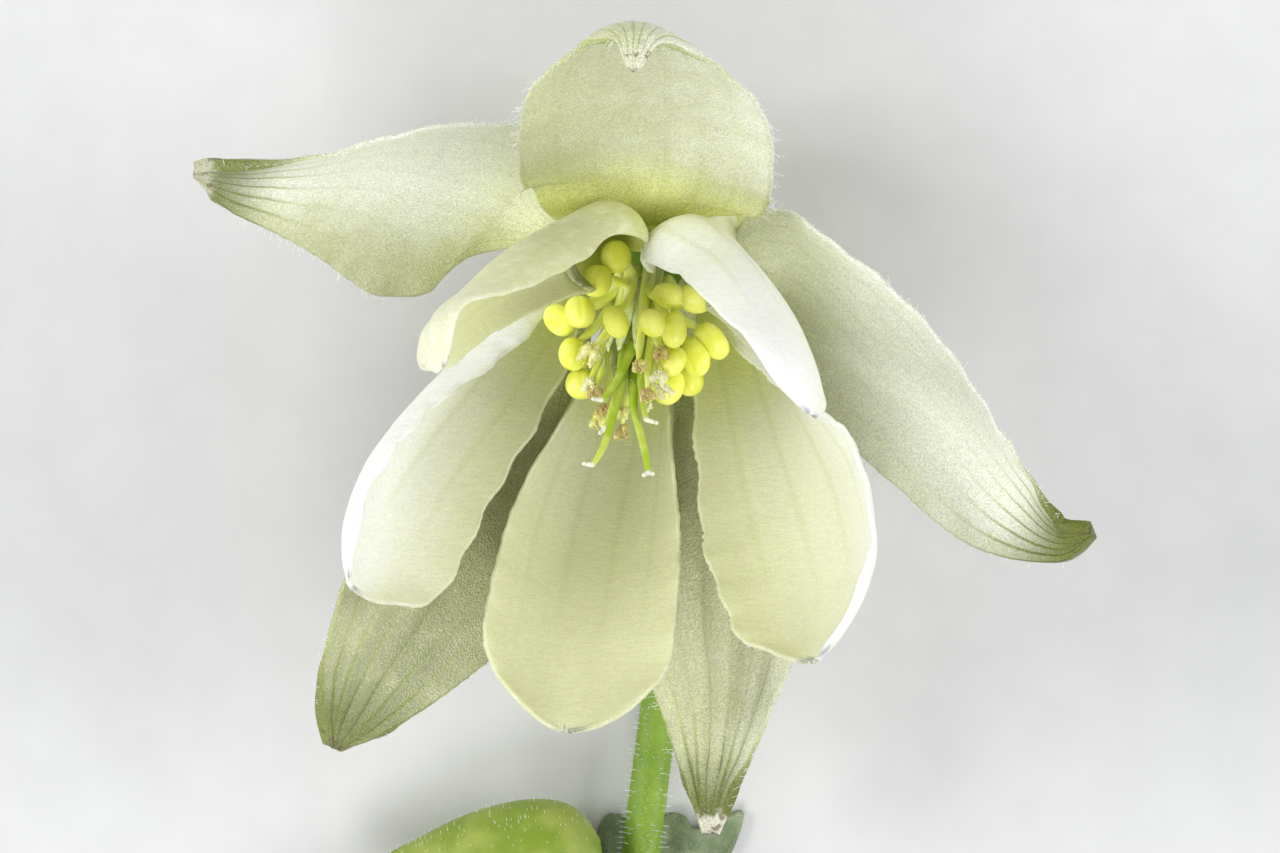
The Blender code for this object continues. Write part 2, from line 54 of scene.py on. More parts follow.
# Petals and sepals are rows from the tip to the base, each of six numbers: distance from the
# flower's axis, shift to the side, height along the axis, half width, curl in degrees to each
# side and turn in degrees. A curl of 180 closes the row into a tube.
SPUR = [
    (5.45, 0.0, -0.8, 4.15, 180.0, 0.0),
    (5.20, 0.0, -2.6, 3.60, 180.0, 0.0),
    (5.15, 0.0, -4.8, 2.90, 180.0, 0.0),
    (4.90, 0.0, -7.1, 2.40, 180.0, 0.0),
    (4.20, 0.0, -9.1, 2.10, 180.0, 0.0),
    (3.00, 0.0, -9.9, 1.95, 180.0, 0.0),
    (1.85, 0.0, -9.6, 2.20, 180.0, 0.0),
    (1.25, 0.0, -8.8, 1.60, 180.0, 0.0),
]

# Each petal: azimuth, rows of the blade, length of the rounded tip. Most rows of the two upper
# petals were fitted by a program to their margins in the photograph.
PETALS = {
    "petal_upper_left": (
        -36.0,
        [
            (12.95, -0.42, 15.21, 1.63, 16.0, -36.0),
            (13.72, -0.87, 13.48, 2.42, 36.0, -33.0),
            (12.71, -0.62, 11.22, 3.25, 65.0, -28.0),
            (10.88, -0.31, 7.55, 3.61, 85.0, -21.0),
            (8.47, -0.28, 3.99, 3.66, 102.0, -22.0),
            (6.62, 0.28, 1.20, 4.30, 122.0, -17.0),
            (5.9, 0.15, 0.7, 4.0, 130.0, -13.0),
        ],
        2.4,
    ),
    "petal_lower_left": (
        -108.0,
        [
            (11.6, 0.0, 16.4, 4.4, 40.0, 0.0),
            (11.8, 0.0, 14.4, 5.4, 52.0, 0.0),
            (11.2, 0.0, 11.3, 5.8, 64.0, 0.0),
            (9.7, 0.0, 7.6, 5.2, 78.0, 0.0),
            (7.7, 0.0, 4.0, 4.6, 103.0, 0.0),
            (6.05, 0.0, 0.7, 4.1, 130.0, 0.0),
        ],
        4.0,
    ),
    "petal_bottom": (
        180.0,
        [
            (10.2, 0.7, 17.8, 4.0, 35.0, 0.0),
            (9.9, 0.7, 15.2, 4.7, 46.0, 0.0),
            (9.2, 0.7, 12.0, 5.0, 58.0, 0.0),
            (8.4, 0.6, 8.0, 5.0, 75.0, 0.0),
            (7.3, 0.3, 4.0, 4.6, 103.0, 0.0),
            (6.05, 0.0, 0.7, 4.1, 130.0, 0.0),
        ],
        4.0,
    ),
    "petal_lower_right": (
        108.0,
        [
            (10.4, 0.1, 17.2, 4.0, 38.0, 16.0),
            (11.0, 0.1, 15.0, 5.0, 44.0, 16.0),
            (10.8, 0.1, 12.0, 5.6, 50.0, 16.0),
            (9.6, 0.2, 8.0, 6.0, 60.0, 14.0),
            (7.7, 0.1, 4.2, 5.0, 90.0, 6.0),
            (6.05, 0.0, 0.7, 4.1, 130.0, 0.0),
        ],
        4.0,
    ),
    "petal_upper_right": (
        36.0,
        [
            (12.69, 0.45, 14.67, 1.95, 30.0, 15.0),
            (12.76, 0.00, 12.71, 2.90, 45.0, 15.0),
            (11.42, -0.12, 9.42, 3.70, 61.0, 10.0),
            (10.09, -0.07, 6.79, 4.19, 74.0, 11.0),
            (8.40, -0.30, 3.90, 4.15, 95.0, 11.0),
            (6.75, -1.05, 1.30, 4.50, 121.0, 2.0),
            (6.05, -0.25, 0.7, 4.1, 130.0, 8.0),
        ],
        2.6,
    ),
}

# The foot of each sepal, and of the top one
SEPAL_CLAW = [
    (5.3, 0.0, -1.35, 1.2, 20.0, 0.0),
    (3.8, 0.0, -1.8, 0.7, 10.0, 0.0),
    (1.9, 0.0, -2.1, 0.7, 10.0, 0.0),
]
TOP_CLAW = [
    (4.1, 0.0, -0.95, 0.55, 10.0, 0.0),
    (3.1, 0.0, -1.75, 0.55, 10.0, 0.0),
    (1.9, 0.0, -2.1, 0.7, 10.0, 0.0),
]

# Each sepal: azimuth and rows of the blade
SEPALS = {
    "sepal_top": (
        -3.0,
        [
            (21.0, -0.6, 6.6, 0.2, 30.0, 0.0),
            (21.5, -0.6, 5.2, 1.0, 44.0, 0.0),
            (20.8, -0.6, 3.9, 2.4, 46.0, 0.0),
            (19.3, -0.4, 3.1, 3.9, 42.0, 0.0),
            (17.0, -0.2, 2.3, 5.2, 36.0, 0.0),
            (13.6, -0.1, 1.4, 5.8, 32.0, 0.0),
            (10.0, -0.1, 0.5, 5.9, 34.0, 0.0),
            (7.4, 0.0, -0.1, 5.3, 24.0, 0.0),
            (6.6, 0.2, -0.25, 4.4, 16.0, 0.0),
            (6.0, 0.35, -0.35, 2.75, 10.0, 0.0),
            (5.2, 0.05, -0.5, 1.0, 10.0, 0.0),
        ]
        + TOP_CLAW,
    ),
    "sepal_left": (
        -70.0,
        [
            (21.5, -0.5, 2.9, 0.3, 30.0, 0.0),
            (20.4, -0.1, 2.9, 1.4, 44.0, 0.0),
            (17.5, 0.2, 2.0, 2.9, 34.0, 0.0),
            (13.9, 0.3, 0.1, 5.3, 26.0, 0.0),
            (10.4, 0.2, -1.0, 6.8, 22.0, 0.0),
            (7.7, 0.0, -1.5, 5.8, 16.0, 0.0),
            (6.9, -0.1, -1.7, 3.2, 8.0, 0.0),
        ]
        + SEPAL_CLAW,
    ),
    "sepal_right": (
        72.0,
        [
            (20.2, 6.2, 10.8, 0.3, 34.0, 20.0),
            (18.6, 6.5, 10.7, 1.3, 34.0, 20.0),
            (16.2, 5.35, 9.0, 3.25, 30.0, 22.0),
            (13.2, 2.95, 5.8, 4.55, 24.0, 22.0),
            (10.0, 1.2, 2.5, 4.9, 20.0, 18.0),
            (7.7, 0.2, -0.1, 4.4, 18.0, 10.0),
            (6.6, 0.0, -0.95, 3.4, 12.0, 4.0),
        ]
        + SEPAL_CLAW,
    ),
    "sepal_lower_left": (
        -144.0,
        [
            (18.8, 0.0, 16.7, 0.4, 30.0, 0.0),
            (17.8, 0.2, 15.8, 1.7, 30.0, 0.0),
            (15.8, 0.5, 14.2, 3.1, 26.0, 0.0),
            (12.8, 0.6, 11.6, 4.5, 22.0, 0.0),
            (10.6, 0.3, 8.8, 5.3, 20.0, 0.0),
            (9.2, 0.0, 5.4, 5.2, 20.0, 0.0),
            (7.6, 0.0, 1.6, 3.8, 20.0, 0.0),
        ]
        + SEPAL_CLAW,
    ),
    "sepal_bottom": (
        144.0,
        [
            (17.8, 4.9, 17.0, 0.3, 30.0, 0.0),
            (16.8, 4.3, 15.0, 1.5, 28.0, 0.0),
            (14.7, 3.1, 11.8, 3.2, 24.0, 0.0),
            (12.0, 2.0, 9.2, 4.6, 20.0, 0.0),
            (9.8, 1.0, 6.2, 4.8, 20.0, 0.0),
            (7.8, 0.4, 2.0, 3.6, 20.0, 0.0),
        ]
        + SEPAL_CLAW,
    ),
}

# The stem from its cut end to the back of the flower: right, up, toward the viewer, radius.
# Places are from the flower's centre.
STEM_PATH = [
    (-1.8, -53.0, -8.73, 0.95),
    (-1.7, -48.0, -8.73, 0.95),
    (-1.5, -43.0, -8.70, 0.95),
    (-1.1, -37.0, -8.2, 0.95),
    (-0.6, -32.6, -7.65, 0.96),
    (-0.4, -31.2, -7.5, 1.0),
    (-0.35, -30.0, -7.5, 0.95),
    (-0.1, -26.4, -7.6, 0.92),
    (0.8, -19.2, -8.2, 0.9),
    (2.0, -10.0, -8.6, 0.9),
    (2.8, -3.6, -8.7, 0.9),
    (3.2, -0.4, -8.3, 0.9),
    (2.9, 1.6, -6.9, 0.9),
    (1.9, 2.7, -5.2, 0.9),
    (0.9, 2.95, -3.7, 0.9),
    (0.38, 2.55, -2.5, 0.9),
    (0.29, 2.05, -1.86, 1.2),
    (0.22, 1.55, -1.41, 1.75),
    (0.12, 0.88, -0.80, 1.7),
]
BUD_STALK = [
    (-0.4, -31.3, -7.75, 0.6),
    (-0.5, -30.4, -6.8, 0.55),
    (-0.5, -29.2, -5.7, 0.5),
    (-0.7, -27.9, -5.1, 0.5),
    (-0.95, -26.9, -5.6, 0.55),
    (-1.05, -26.7, -5.85, 0.55),
]

# The bud: its base, the way it points and its radius along its length
BUD_BASE = (-1.9, -26.5, -6.4)
BUD_TURN = 187.0
BUD_PROFILE = [
    (0.0, 0.9),
    (0.5, 1.9),
    (1.3, 2.75),
    (2.8, 3.2),
    (4.6, 3.15),
    (6.5, 2.75),
    (8.5, 2.0),
    (9.9, 1.45),
    (11.2, 0.8),
    (12.2, 0.25),
]

# The bract lies under the stem: direction in degrees and reach of its three lobes
BRACT_BASE = (0.0, -31.3, -9.29)
BRACT_EDGE = [
    (38.0, 1.2),
    (46.0, 4.2),
    (50.0, 6.6),
    (55.0, 8.2),
    (60.0, 7.2),
    (68.0, 6.4),
    (74.0, 6.8),
    (80.0, 6.7),
    (86.0, 5.9),
    (93.0, 6.1),
    (100.0, 6.7),
    (106.0, 6.7),
    (114.0, 5.4),
    (128.0, 3.2),
    (145.0, 1.2),
]

# Places in a petal or sepal, in mm from its tip, and divisions along and across
PETAL_STATIONS, PETAL_COLUMNS = 150, 65
SEPAL_STATIONS, SEPAL_COLUMNS = 130, 61
PETAL_LENGTH = 14.0
SEPAL_LENGTH = 18.0
BRACT_THINNING = 0.5

# Anthers: half width and half depth, and how deep the crease is
ANTHER_WIDTH = 0.70
ANTHER_DEPTH = 0.54
ANTHER_CREASE = 0.08
POLLEN_GRAINS = 34

# Hairs on the stem, the bud's stalk, the bud, the bract, each carpel and each sepal margin
STEM_HAIRS = 3600
STALK_HAIRS = 220
BUD_HAIRS = 900
BRACT_HAIRS = 700
CARPEL_HAIRS = 110
MARGIN_HAIRS = 58

# Camera: where the photograph's middle falls on the flower, its distance and its scale
PHOTO_SIZE = (1280, 853)
FLOWER_AT = (643.0, 290.0)
PIXELS_PER_MM = 22.0
CAMERA_DISTANCE = 260.0

# How strongly each side margin of a petal is ruffled, and how toothed its edge is
PETAL_EDGES = {
    "petal_upper_left": (0.04, 0.03, 0.012),
    "petal_lower_left": (0.05, 0.07, 0.03),
    "petal_bottom": (0.04, 0.04, 0.04),
    "petal_lower_right": (0.06, 0.04, 0.07),
    "petal_upper_right": (0.03, 0.04, 0.015),
}
# How far the two upper petals shift sideways and outward at the throat, in mm
THROAT_PUSH = {"petal_upper_left": (0.75, 0.0), "petal_upper_right": (-0.30, 0.0)}
# How much of its inner margin each upper petal lacks at the throat
THROAT_TRIM = {"petal_upper_left": (0.22, 1.0), "petal_upper_right": (0.04, -1.0)}
# Rows that replace the foot of two sepals, which come in behind the upper petals
FEET = {
    "sepal_top": (
        7,
        [
            (7.5, -0.1, 0.1, 5.5, 24.0, -3.0),
            (6.4, -0.2, 0.1, 4.8, 18.0, -6.0),
            (5.5, -0.2, 0.0, 3.9, 14.0, -7.0),
            (4.9, -0.15, -0.1, 2.8, 10.0, -6.0),
            (4.3, -0.05, -0.3, 1.3, 10.0, -2.0),
            (3.1, 0.0, -1.3, 0.6, 10.0, 0.0),
            (1.9, 0.0, -2.1, 0.7, 10.0, 0.0),
        ],
    ),
    "sepal_right": (
        6,
        [
            (6.6, 0.0, -0.8, 4.1, 14.0, 5.0),
            (5.5, 0.0, -1.1, 3.3, 14.0, 3.0),
            (4.5, 0.0, -1.5, 1.8, 14.0, 0.0),
            (3.6, 0.0, -1.8, 0.7, 10.0, 0.0),
            (1.9, 0.0, -2.1, 0.7, 10.0, 0.0),
        ],
    ),
}
# How white a blade is, below 0 darker than its own olive: level, gain across it, gain toward
# its tip, middle of the gain. These stand in for the light in the photograph.
PETAL_LIGHT = {
    "petal_upper_left": (-0.45, -0.05, 0.90, 0.0),
    "petal_lower_left": (0.60, 0.90, 0.70, 0.0),
    "petal_bottom": (0.20, 0.05, -0.45, 0.0),
    "petal_lower_right": (0.45, -0.50, 0.0, 0.0),
    "petal_upper_right": (0.65, -0.25, 0.20, 0.0),
}
SEPAL_LIGHT = {
    "sepal_top": (0.62, 0.16, 0.0, 0.0),
    "sepal_left": (0.90, 0.60, 0.20, 0.0),
    "sepal_right": (1.15, -0.45, 0.0, 0.0),
    "sepal_lower_left": (0.12, 0.0, 0.10, 0.0),
    "sepal_bottom": (0.35, -0.20, 0.25, 0.0),
}
# Depth of a sepal's furrows in mm, and how strong its stripes, its dark tip, its green foot and
# the pale spot at its very end are
SEPAL_FURROW = {"sepal_bottom": 0.09, "sepal_lower_left": 0.05}
SEPAL_STRIPES = {"sepal_bottom": 0.22, "sepal_lower_left": 0.20}
DARK_TIP = {
    "sepal_top": 0.10,
    "sepal_left": 0.85,
    "sepal_right": 1.0,
    "sepal_lower_left": 0.75,
    "sepal_bottom": 0.95,
}
GREEN_FOOT = {"sepal_top": 0.85, "sepal_right": 0.15}
PALE_END = {"sepal_bottom": 1.0, "sepal_left": 0.5, "sepal_top": 0.5}

# Closed anthers: right, up and forward of the flower's centre, lean of the long axis from
# straight down and roll in degrees, its pitch toward the viewer, half length. A program worked
# out right and up from places read in the photograph, here and for most of the shed anthers.
PLUMP_ANTHERS = [
    (-1.41, 3.27, 1.2, 0.0, 0.0, 0.4, 0.76),
    (-2.12, 3.05, 2.6, -17.0, 10.0, 0.8, 0.82),
    (-2.66, 1.62, 3.3, 10.0, -10.0, 0.7, 0.80),
    (-3.53, 0.89, 3.3, 50.0, 35.0, 0.3, 0.80),
    (-0.99, 2.97, 4.8, 25.0, 75.0, 0.3, 0.74),
    (0.60, 3.69, 5.2, 50.0, 65.0, 0.4, 0.66),
    (1.30, 3.42, 3.2, 80.0, 60.0, 0.2, 0.88),
    (2.30, 3.55, 3.3, 75.0, 40.0, 0.1, 0.80),
    (1.61, 2.76, 4.6, 5.0, 60.0, 0.4, 0.82),
    (3.38, 1.37, 3.7, 42.0, 50.0, 0.2, 0.95),
    (2.75, 0.82, 4.3, 14.0, 35.0, 0.3, 0.92),
    (1.73, 1.28, 5.2, -28.0, 60.0, 0.4, 0.74),
    (1.76, 0.03, 5.6, -20.0, 25.0, 0.4, 0.85),
    (-2.71, 0.20, 4.6, -10.0, -30.0, 0.5, 0.76),
    (-2.18, -0.95, 5.3, 0.0, 0.0, 0.6, 0.72),
    (2.61, -0.84, 4.2, 20.0, 30.0, 0.3, 0.78),
]
# Shed anthers: right, up, forward, lean, half length, tone from pale 0 to brown 1
SHED_ANTHERS = [
    (-1.95, 1.34, 5.4, -35.0, 0.52, 0.20),
    (-1.78, -0.35, 5.8, 0.0, 0.34, 0.10),
    (-1.50, -0.45, 6.1, -10.0, 0.32, 0.75),
    (-1.00, -1.62, 6.0, 20.0, 0.26, 1.00),
    (-1.19, -2.08, 6.3, -10.0, 0.42, 0.35),
    (-0.17, -2.18, 5.6, 0.0, 0.32, 0.25),
    (-0.05, -2.55, 6.4, 0.0, 0.34, 0.60),
    (0.29, 1.50, 5.9, 10.0, 0.32, 0.50),
    (1.25, 1.34, 6.3, -20.0, 0.36, 0.05),
    (1.55, 0.86, 6.6, 30.0, 0.38, 0.10),
    (0.82, 1.19, 7.2, 0.0, 0.34, 0.55),
    (0.90, -0.03, 6.9, -30.0, 0.26, 0.00),
    (1.15, 1.93, 5.4, 10.0, 0.34, 0.60),
]
# Pistils: azimuth of the carpel, places along the style, ends of its pale hook
STYLES = [
    (-10.0, [(-0.13, 0.70, 4.2), (-0.60, 0.40, 6.0), (-1.10, 0.38, 7.2)], [(-1.50, 0.48, 7.3)]),
    (72.0, [(0.45, 0.15, 5.0), (0.60, 0.22, 6.4), (0.90, 0.42, 8.0)], [(1.40, 0.62, 8.3)]),
    (
        144.0,
        [(0.17, -0.13, 5.4), (0.34, 0.06, 7.2), (0.81, 0.28, 8.9), (1.16, 0.40, 10.2), (1.34, 0.36, 11.0)],
        [(1.18, 0.33, 11.15), (1.52, 0.42, 11.1)],
    ),
    (
        -100.0,
        [(-0.40, 0.10, 5.0), (-0.48, 0.08, 6.9), (-0.58, 0.10, 8.3), (-0.82, 0.03, 9.8), (-1.12, 0.0, 10.7)],
        [(-1.50, 0.15, 10.85)],
    ),
    (-150.0, [(-0.35, -0.45, 4.8), (-0.60, -0.75, 6.4), (-0.80, -0.95, 7.6)], [(-1.0, -1.05, 7.9)]),
]

# Plain materials: name, two tones, size of their clouds, roughness, depth of the grain,
# subsurface
PLAIN_PAINTS = {
    "plump": ("anther_lemon", (0.84, 0.86, 0.10), (0.92, 0.93, 0.20), 0.8, 0.34, 0.02, 0.35),
    "open": ("anther_tan", (0.68, 0.62, 0.12), (0.88, 0.86, 0.42), 0.14, 0.7, 0.04, 0.1),
    "thread": ("filament", (0.90, 0.97, 0.18), (0.95, 0.99, 0.36), 0.9, 0.33, 0.02, 0.45),
    "scale": ("staminode_pale", (0.74, 0.81, 0.26), (0.90, 0.93, 0.58), 0.20, 0.30, 0.04, 0.45),
    "carpel": ("carpel_green", (0.36, 0.50, 0.03), (0.56, 0.66, 0.13), 1.6, 0.4, 0.02, 0.25),
    "stigma": ("stigma_white", (0.80, 0.82, 0.55), (0.92, 0.93, 0.78), 0.2, 0.6, 0.03, 0.3),
    "stem": ("stem_green", (0.16, 0.28, 0.02), (0.23, 0.36, 0.035), 2.5, 0.48, 0.03, 0.12),
    "bud": ("bud_green", (0.22, 0.31, 0.03), (0.35, 0.42, 0.08), 2.4, 0.5, 0.03, 0.15),
    "bract": ("bract_green", (0.15, 0.20, 0.10), (0.26, 0.31, 0.18), 1.2, 0.6, 0.03, 0.1),
    "hair": ("hair_white", (0.84, 0.88, 0.76), (0.94, 0.96, 0.90), 0.5, 0.35, 0.0, 0.2),
}

chance = np.random.default_rng(SEED + 4)


def unit(vectors):
    vectors = np.asarray(vectors, float)
    return vectors / np.linalg.norm(vectors, axis=-1, keepdims=True)


def flower_axes():
    """The flower's own right, up and forward directions in the part's frame."""
    tilt = math.radians(FLOWER_TILT)
    roll = math.radians(FLOWER_ROLL)
    turn = np.array(
        [
            [math.cos(roll), -math.sin(roll), 0.0],
            [math.sin(roll), math.cos(roll), 0.0],
            [0.0, 0.0, 1.0],
        ]
    )
    side = turn @ np.array([1.0, 0.0, 0.0])
    up = turn @ np.array([0.0, math.cos(tilt), math.sin(tilt)])
    forward = turn @ np.array([0.0, -math.sin(tilt), math.cos(tilt)])
    return side, up, forward


SIDE, UP, FORWARD = flower_axes()


def out_and_across(azimuth):
    """The directions away from the flower's axis and round it, at this azimuth in degrees."""
    angle = math.radians(azimuth)
    out = math.sin(angle) * SIDE + math.cos(angle) * UP
    across = math.cos(angle) * SIDE - math.sin(angle) * UP
    return out, across


def in_flower(azimuth, places):
    """Points given as distance from the axis, shift to the side and height along the axis."""
    out, across = out_and_across(azimuth)
    places = np.asarray(places, float)
    return (
        FLOWER_CENTRE
        + places[..., 0:1] * out
        + places[..., 1:2] * across
        + places[..., 2:3] * FORWARD
    )


def smooth(controls, stations):
    """A smooth curve through rows of numbers, read at stations from 0 to 1 of its length."""
    controls = np.asarray(controls, float)
    steps = np.linalg.norm(np.diff(controls[:, :3], axis=0), axis=1)
    knots = np.concatenate([[0.0], np.cumsum(steps)])
    slopes = np.empty_like(controls)
    slopes[1:-1] = (controls[2:] - controls[:-2]) / (knots[2:] - knots[:-2])[:, None]
    slopes[0] = (controls[1] - controls[0]) / steps[0]
    slopes[-1] = (controls[-1] - controls[-2]) / steps[-1]
    wanted = np.asarray(stations) * knots[-1]
    index = np.clip(np.searchsorted(knots, wanted, side="right") - 1, 0, len(steps) - 1)
    length = steps[index][:, None]
    t = ((wanted - knots[index])[:, None]) / length
    first, last = controls[index], controls[index + 1]
    first_slope = slopes[index] * length
    last_slope = slopes[index + 1] * length
    return (
        (2 * t**3 - 3 * t**2 + 1) * first
        + (t**3 - 2 * t**2 + t) * first_slope
        + (3 * t**2 - 2 * t**3) * last
        + (t**3 - t**2) * last_slope
    )


def bowed(start, middle, end, count):
    """A curve from start to end that leans toward middle."""
    t = np.linspace(0.0, 1.0, count)[:, None]
    start, middle, end = (np.asarray(place, float) for place in (start, middle, end))
    return (1 - t) ** 2 * start + 2 * t * (1 - t) * middle + t**2 * end


def tube(path, radii, sides, down=(0.0, 0.0, -1.0)):
    """A closed round tube along a path, with a side of its cross-section facing down."""
    path = np.asarray(path, float)
    radii = np.broadcast_to(np.asarray(radii, float), len(path))
    along = unit(np.gradient(path, axis=0))
    points = []
    reference = np.asarray(down, float)
    for centre, radius, forward in zip(path, radii, along):
        reference = unit(reference - reference.dot(forward) * forward)
        other = np.cross(forward, reference)
        for side in range(sides):
            angle = 2 * math.pi * (side + 0.5) / sides
            points.append(centre + radius * (math.cos(angle) * reference + math.sin(angle) * other))
    faces = []
    for ring in range(len(path) - 1):
        for side in range(sides):
            a, b = ring * sides + side, ring * sides + (side + 1) % sides
            faces += [(a, b, b + sides), (a, b + sides, a + sides)]
    last = (len(path) - 1) * sides
    faces.append(tuple(reversed(range(sides))))
    faces.append(tuple(range(last, last + sides)))
    return np.array(points), faces


def bud_shape(stations, sides):
    """The closed bud, with five shallow furrows."""
    profile = np.array([(s, 0.0, 0.0, r) for s, r in BUD_PROFILE])
    fine = smooth(profile, np.linspace(0.0, 1.0, stations))
    turn = math.radians(BUD_TURN)
    along = np.array([math.cos(turn), math.sin(turn), 0.0])
    path = FLOWER_CENTRE + np.array(BUD_BASE) + fine[:, 0:1] * along
    points, faces = tube(path, fine[:, 3], sides)
    for number in range(len(points)):
        level, side = divmod(number, sides)
        angle = 2 * math.pi * (side + 0.5) / sides
        depth = 0.06 * math.sin(math.pi * min(1.0, fine[level, 0] / 11.0))
        centre = path[level]
        points[number] = centre + (points[number] - centre) * (
            1 - depth * (1 + math.cos(5 * angle)) / 2
        )
    return points, faces


def bract_sheet(stations, columns):
    """The bract's three lobes as a grid that fans out from its base."""
    edge = np.array([(angle, 0.0, 0.0, reach) for angle, reach in BRACT_EDGE])
    fine = smooth(edge, np.linspace(0.0, 1.0, columns))
    sheet = np.empty((stations, columns, 3))
    for row, level in enumerate(np.linspace(0.08, 1.0, stations)):
        for column, (angle, _, _, reach) in enumerate(fine):
            direction = math.radians(angle)
            fold = 0.25 * level**2 * (1 - math.cos(math.radians((angle - 79.0) * 14.0)))
            clear = np.clip(abs(angle - 88.0) / 24.0, 0.0, 1.0)
            place = np.array(
                [
                    level * reach * math.cos(direction),
                    level * reach * math.sin(direction),
                    fold * clear,
                ]
            )
            sheet[row, column] = FLOWER_CENTRE + np.array(BRACT_BASE) + place
    return sheet


def waves(place, length, seed, kinds=5):
    """A smooth random ripple between about -1 and 1 along a row of distances."""
    pick = np.random.default_rng(seed)
    total = np.zeros_like(place, dtype=float)
    for _ in range(kinds):
        rate = 2 * math.pi / length * pick.uniform(0.6, 1.5)
        total += np.sin(rate * place + pick.uniform(0, 2 * math.pi))
    return total / kinds * 1.3


def blade(azimuth, rows, stations, columns, tip_round=0.0, wave=0.0, trim=(0.0, 1.0)):
    """A finely divided petal or sepal: its grid, directions, distance from the tip and share."""
    fine = smooth(rows, stations)
    spine = in_flower(azimuth, fine[:, :3])
    along = unit(np.gradient(spine, axis=0))
    across = out_and_across(azimuth)[1]
    sideways = unit(across - (along @ across)[:, None] * along)
    inward = np.cross(along, sideways)
    turn = np.radians(fine[:, 5:6])
    sideways, inward = (
        np.cos(turn) * sideways + np.sin(turn) * inward,
        np.cos(turn) * inward - np.sin(turn) * sideways,
    )
    run = np.concatenate([[0.0], np.cumsum(np.linalg.norm(np.diff(spine, axis=0), axis=1))])
    half = fine[:, 3].copy()
    if tip_round:
        near = np.clip(1 - (run + 0.03) / tip_round, 0.0, 1.0)
        half *= np.sqrt(1 - near**2)
    curl = np.radians(np.clip(fine[:, 4], 1.0, 180.0))
    closed = fine[:, 4] > 179.0
    curl[closed] = math.pi
    share = np.linspace(-1.0, 1.0, columns)
    radius = (half / curl)[:, None]
    first_closed = int(np.argmax(closed)) if closed.any() else len(stations) - 1
    lack = trim[0] * np.exp(-(((run - run[first_closed] + 4.3) / 1.5) ** 2)) * (1 - closed)
    reach = share * (1 - lack[:, None] * np.clip(share * trim[1], 0.0, 1.0))
    angle = curl[:, None] * reach
    up = np.cos(angle)[..., None] * inward[:, None] - np.sin(angle)[..., None] * sideways[:, None]
    out = np.sin(angle)[..., None] * inward[:, None] + np.cos(angle)[..., None] * sideways[:, None]
    sheet = (
        spine[:, None]
        + (radius * np.sin(angle))[..., None] * sideways[:, None]
        + (radius * (1 - np.cos(angle)))[..., None] * inward[:, None]
    )
    ripple = wave * np.sin(run * 2.3)[:, None] * share**4 * np.sign(share)
    ripple[closed] = 0.0
    sheet += ripple[..., None] * inward[:, None]
    return {
        "sheet": sheet,
        "up": up,
        "out": out,
        "along": along,
        "run": run,
        "share": share,
        "half": half,
        "open": int(np.argmax(closed)) if closed.any() else len(stations),
        "opened": ~closed,
    }


def sheet_quads(shape, open_rows, cap):
    """Faces over a grid whose rows from open_rows on are closed tubes."""
    rows, columns = shape
    numbers = np.arange(rows * columns).reshape(rows, columns)
    numbers[open_rows:, -1] = numbers[open_rows:, 0]
    a, b = numbers[:-1, :-1].ravel(), numbers[:-1, 1:].ravel()
    c, d = numbers[1:, 1:].ravel(), numbers[1:, :-1].ravel()
    faces = [tuple(face) for face in np.stack([a, b, c, d], axis=1).tolist()]
    if cap:
        faces.append(tuple(int(n) for n in numbers[-1, :-1]))
    return faces


def mesh_object(name, points, faces, paints, values=None, body="root"):
    """A smooth-shaded object in metres with its materials and its per-point values."""
    points = np.asarray(points, float)
    used = np.zeros(len(points), bool)
    for face in faces:
        used[list(face)] = True
    place = np.cumsum(used) - 1
    faces = [tuple(int(place[number]) for number in face) for face in faces]
    mesh = bpy.data.meshes.new(name)
    mesh.from_pydata((points[used] * MM).tolist(), [], faces)
    mesh.polygons.foreach_set("use_smooth", np.ones(len(mesh.polygons), bool))
    for paint in paints:
        mesh.materials.append(paint)
    for key, numbers in (values or {}).items():
        layer = mesh.attributes.new(key, "FLOAT", "POINT")
        layer.data.foreach_set("value", np.asarray(numbers, np.float32).ravel()[used])
    mesh.update()
    made = bpy.data.objects.new(name, mesh)
    bpy.context.scene.collection.objects.link(made)
    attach(made, body)
    return made


def thicken(made, thickness, factors, material_step=0):
    """Gives a sheet its wall, thinner where factors are below 1."""
    group = made.vertex_groups.new(name="thick")
    for number, factor in enumerate(factors):
        group.add([number], float(factor), "REPLACE")
    wall = made.modifiers.new("Wall", "SOLIDIFY")
    wall.thickness = thickness * MM
    wall.offset = 0.0
    wall.vertex_group = "thick"
    wall.thickness_vertex_group = 0.05
    wall.material_offset = material_step
    return made


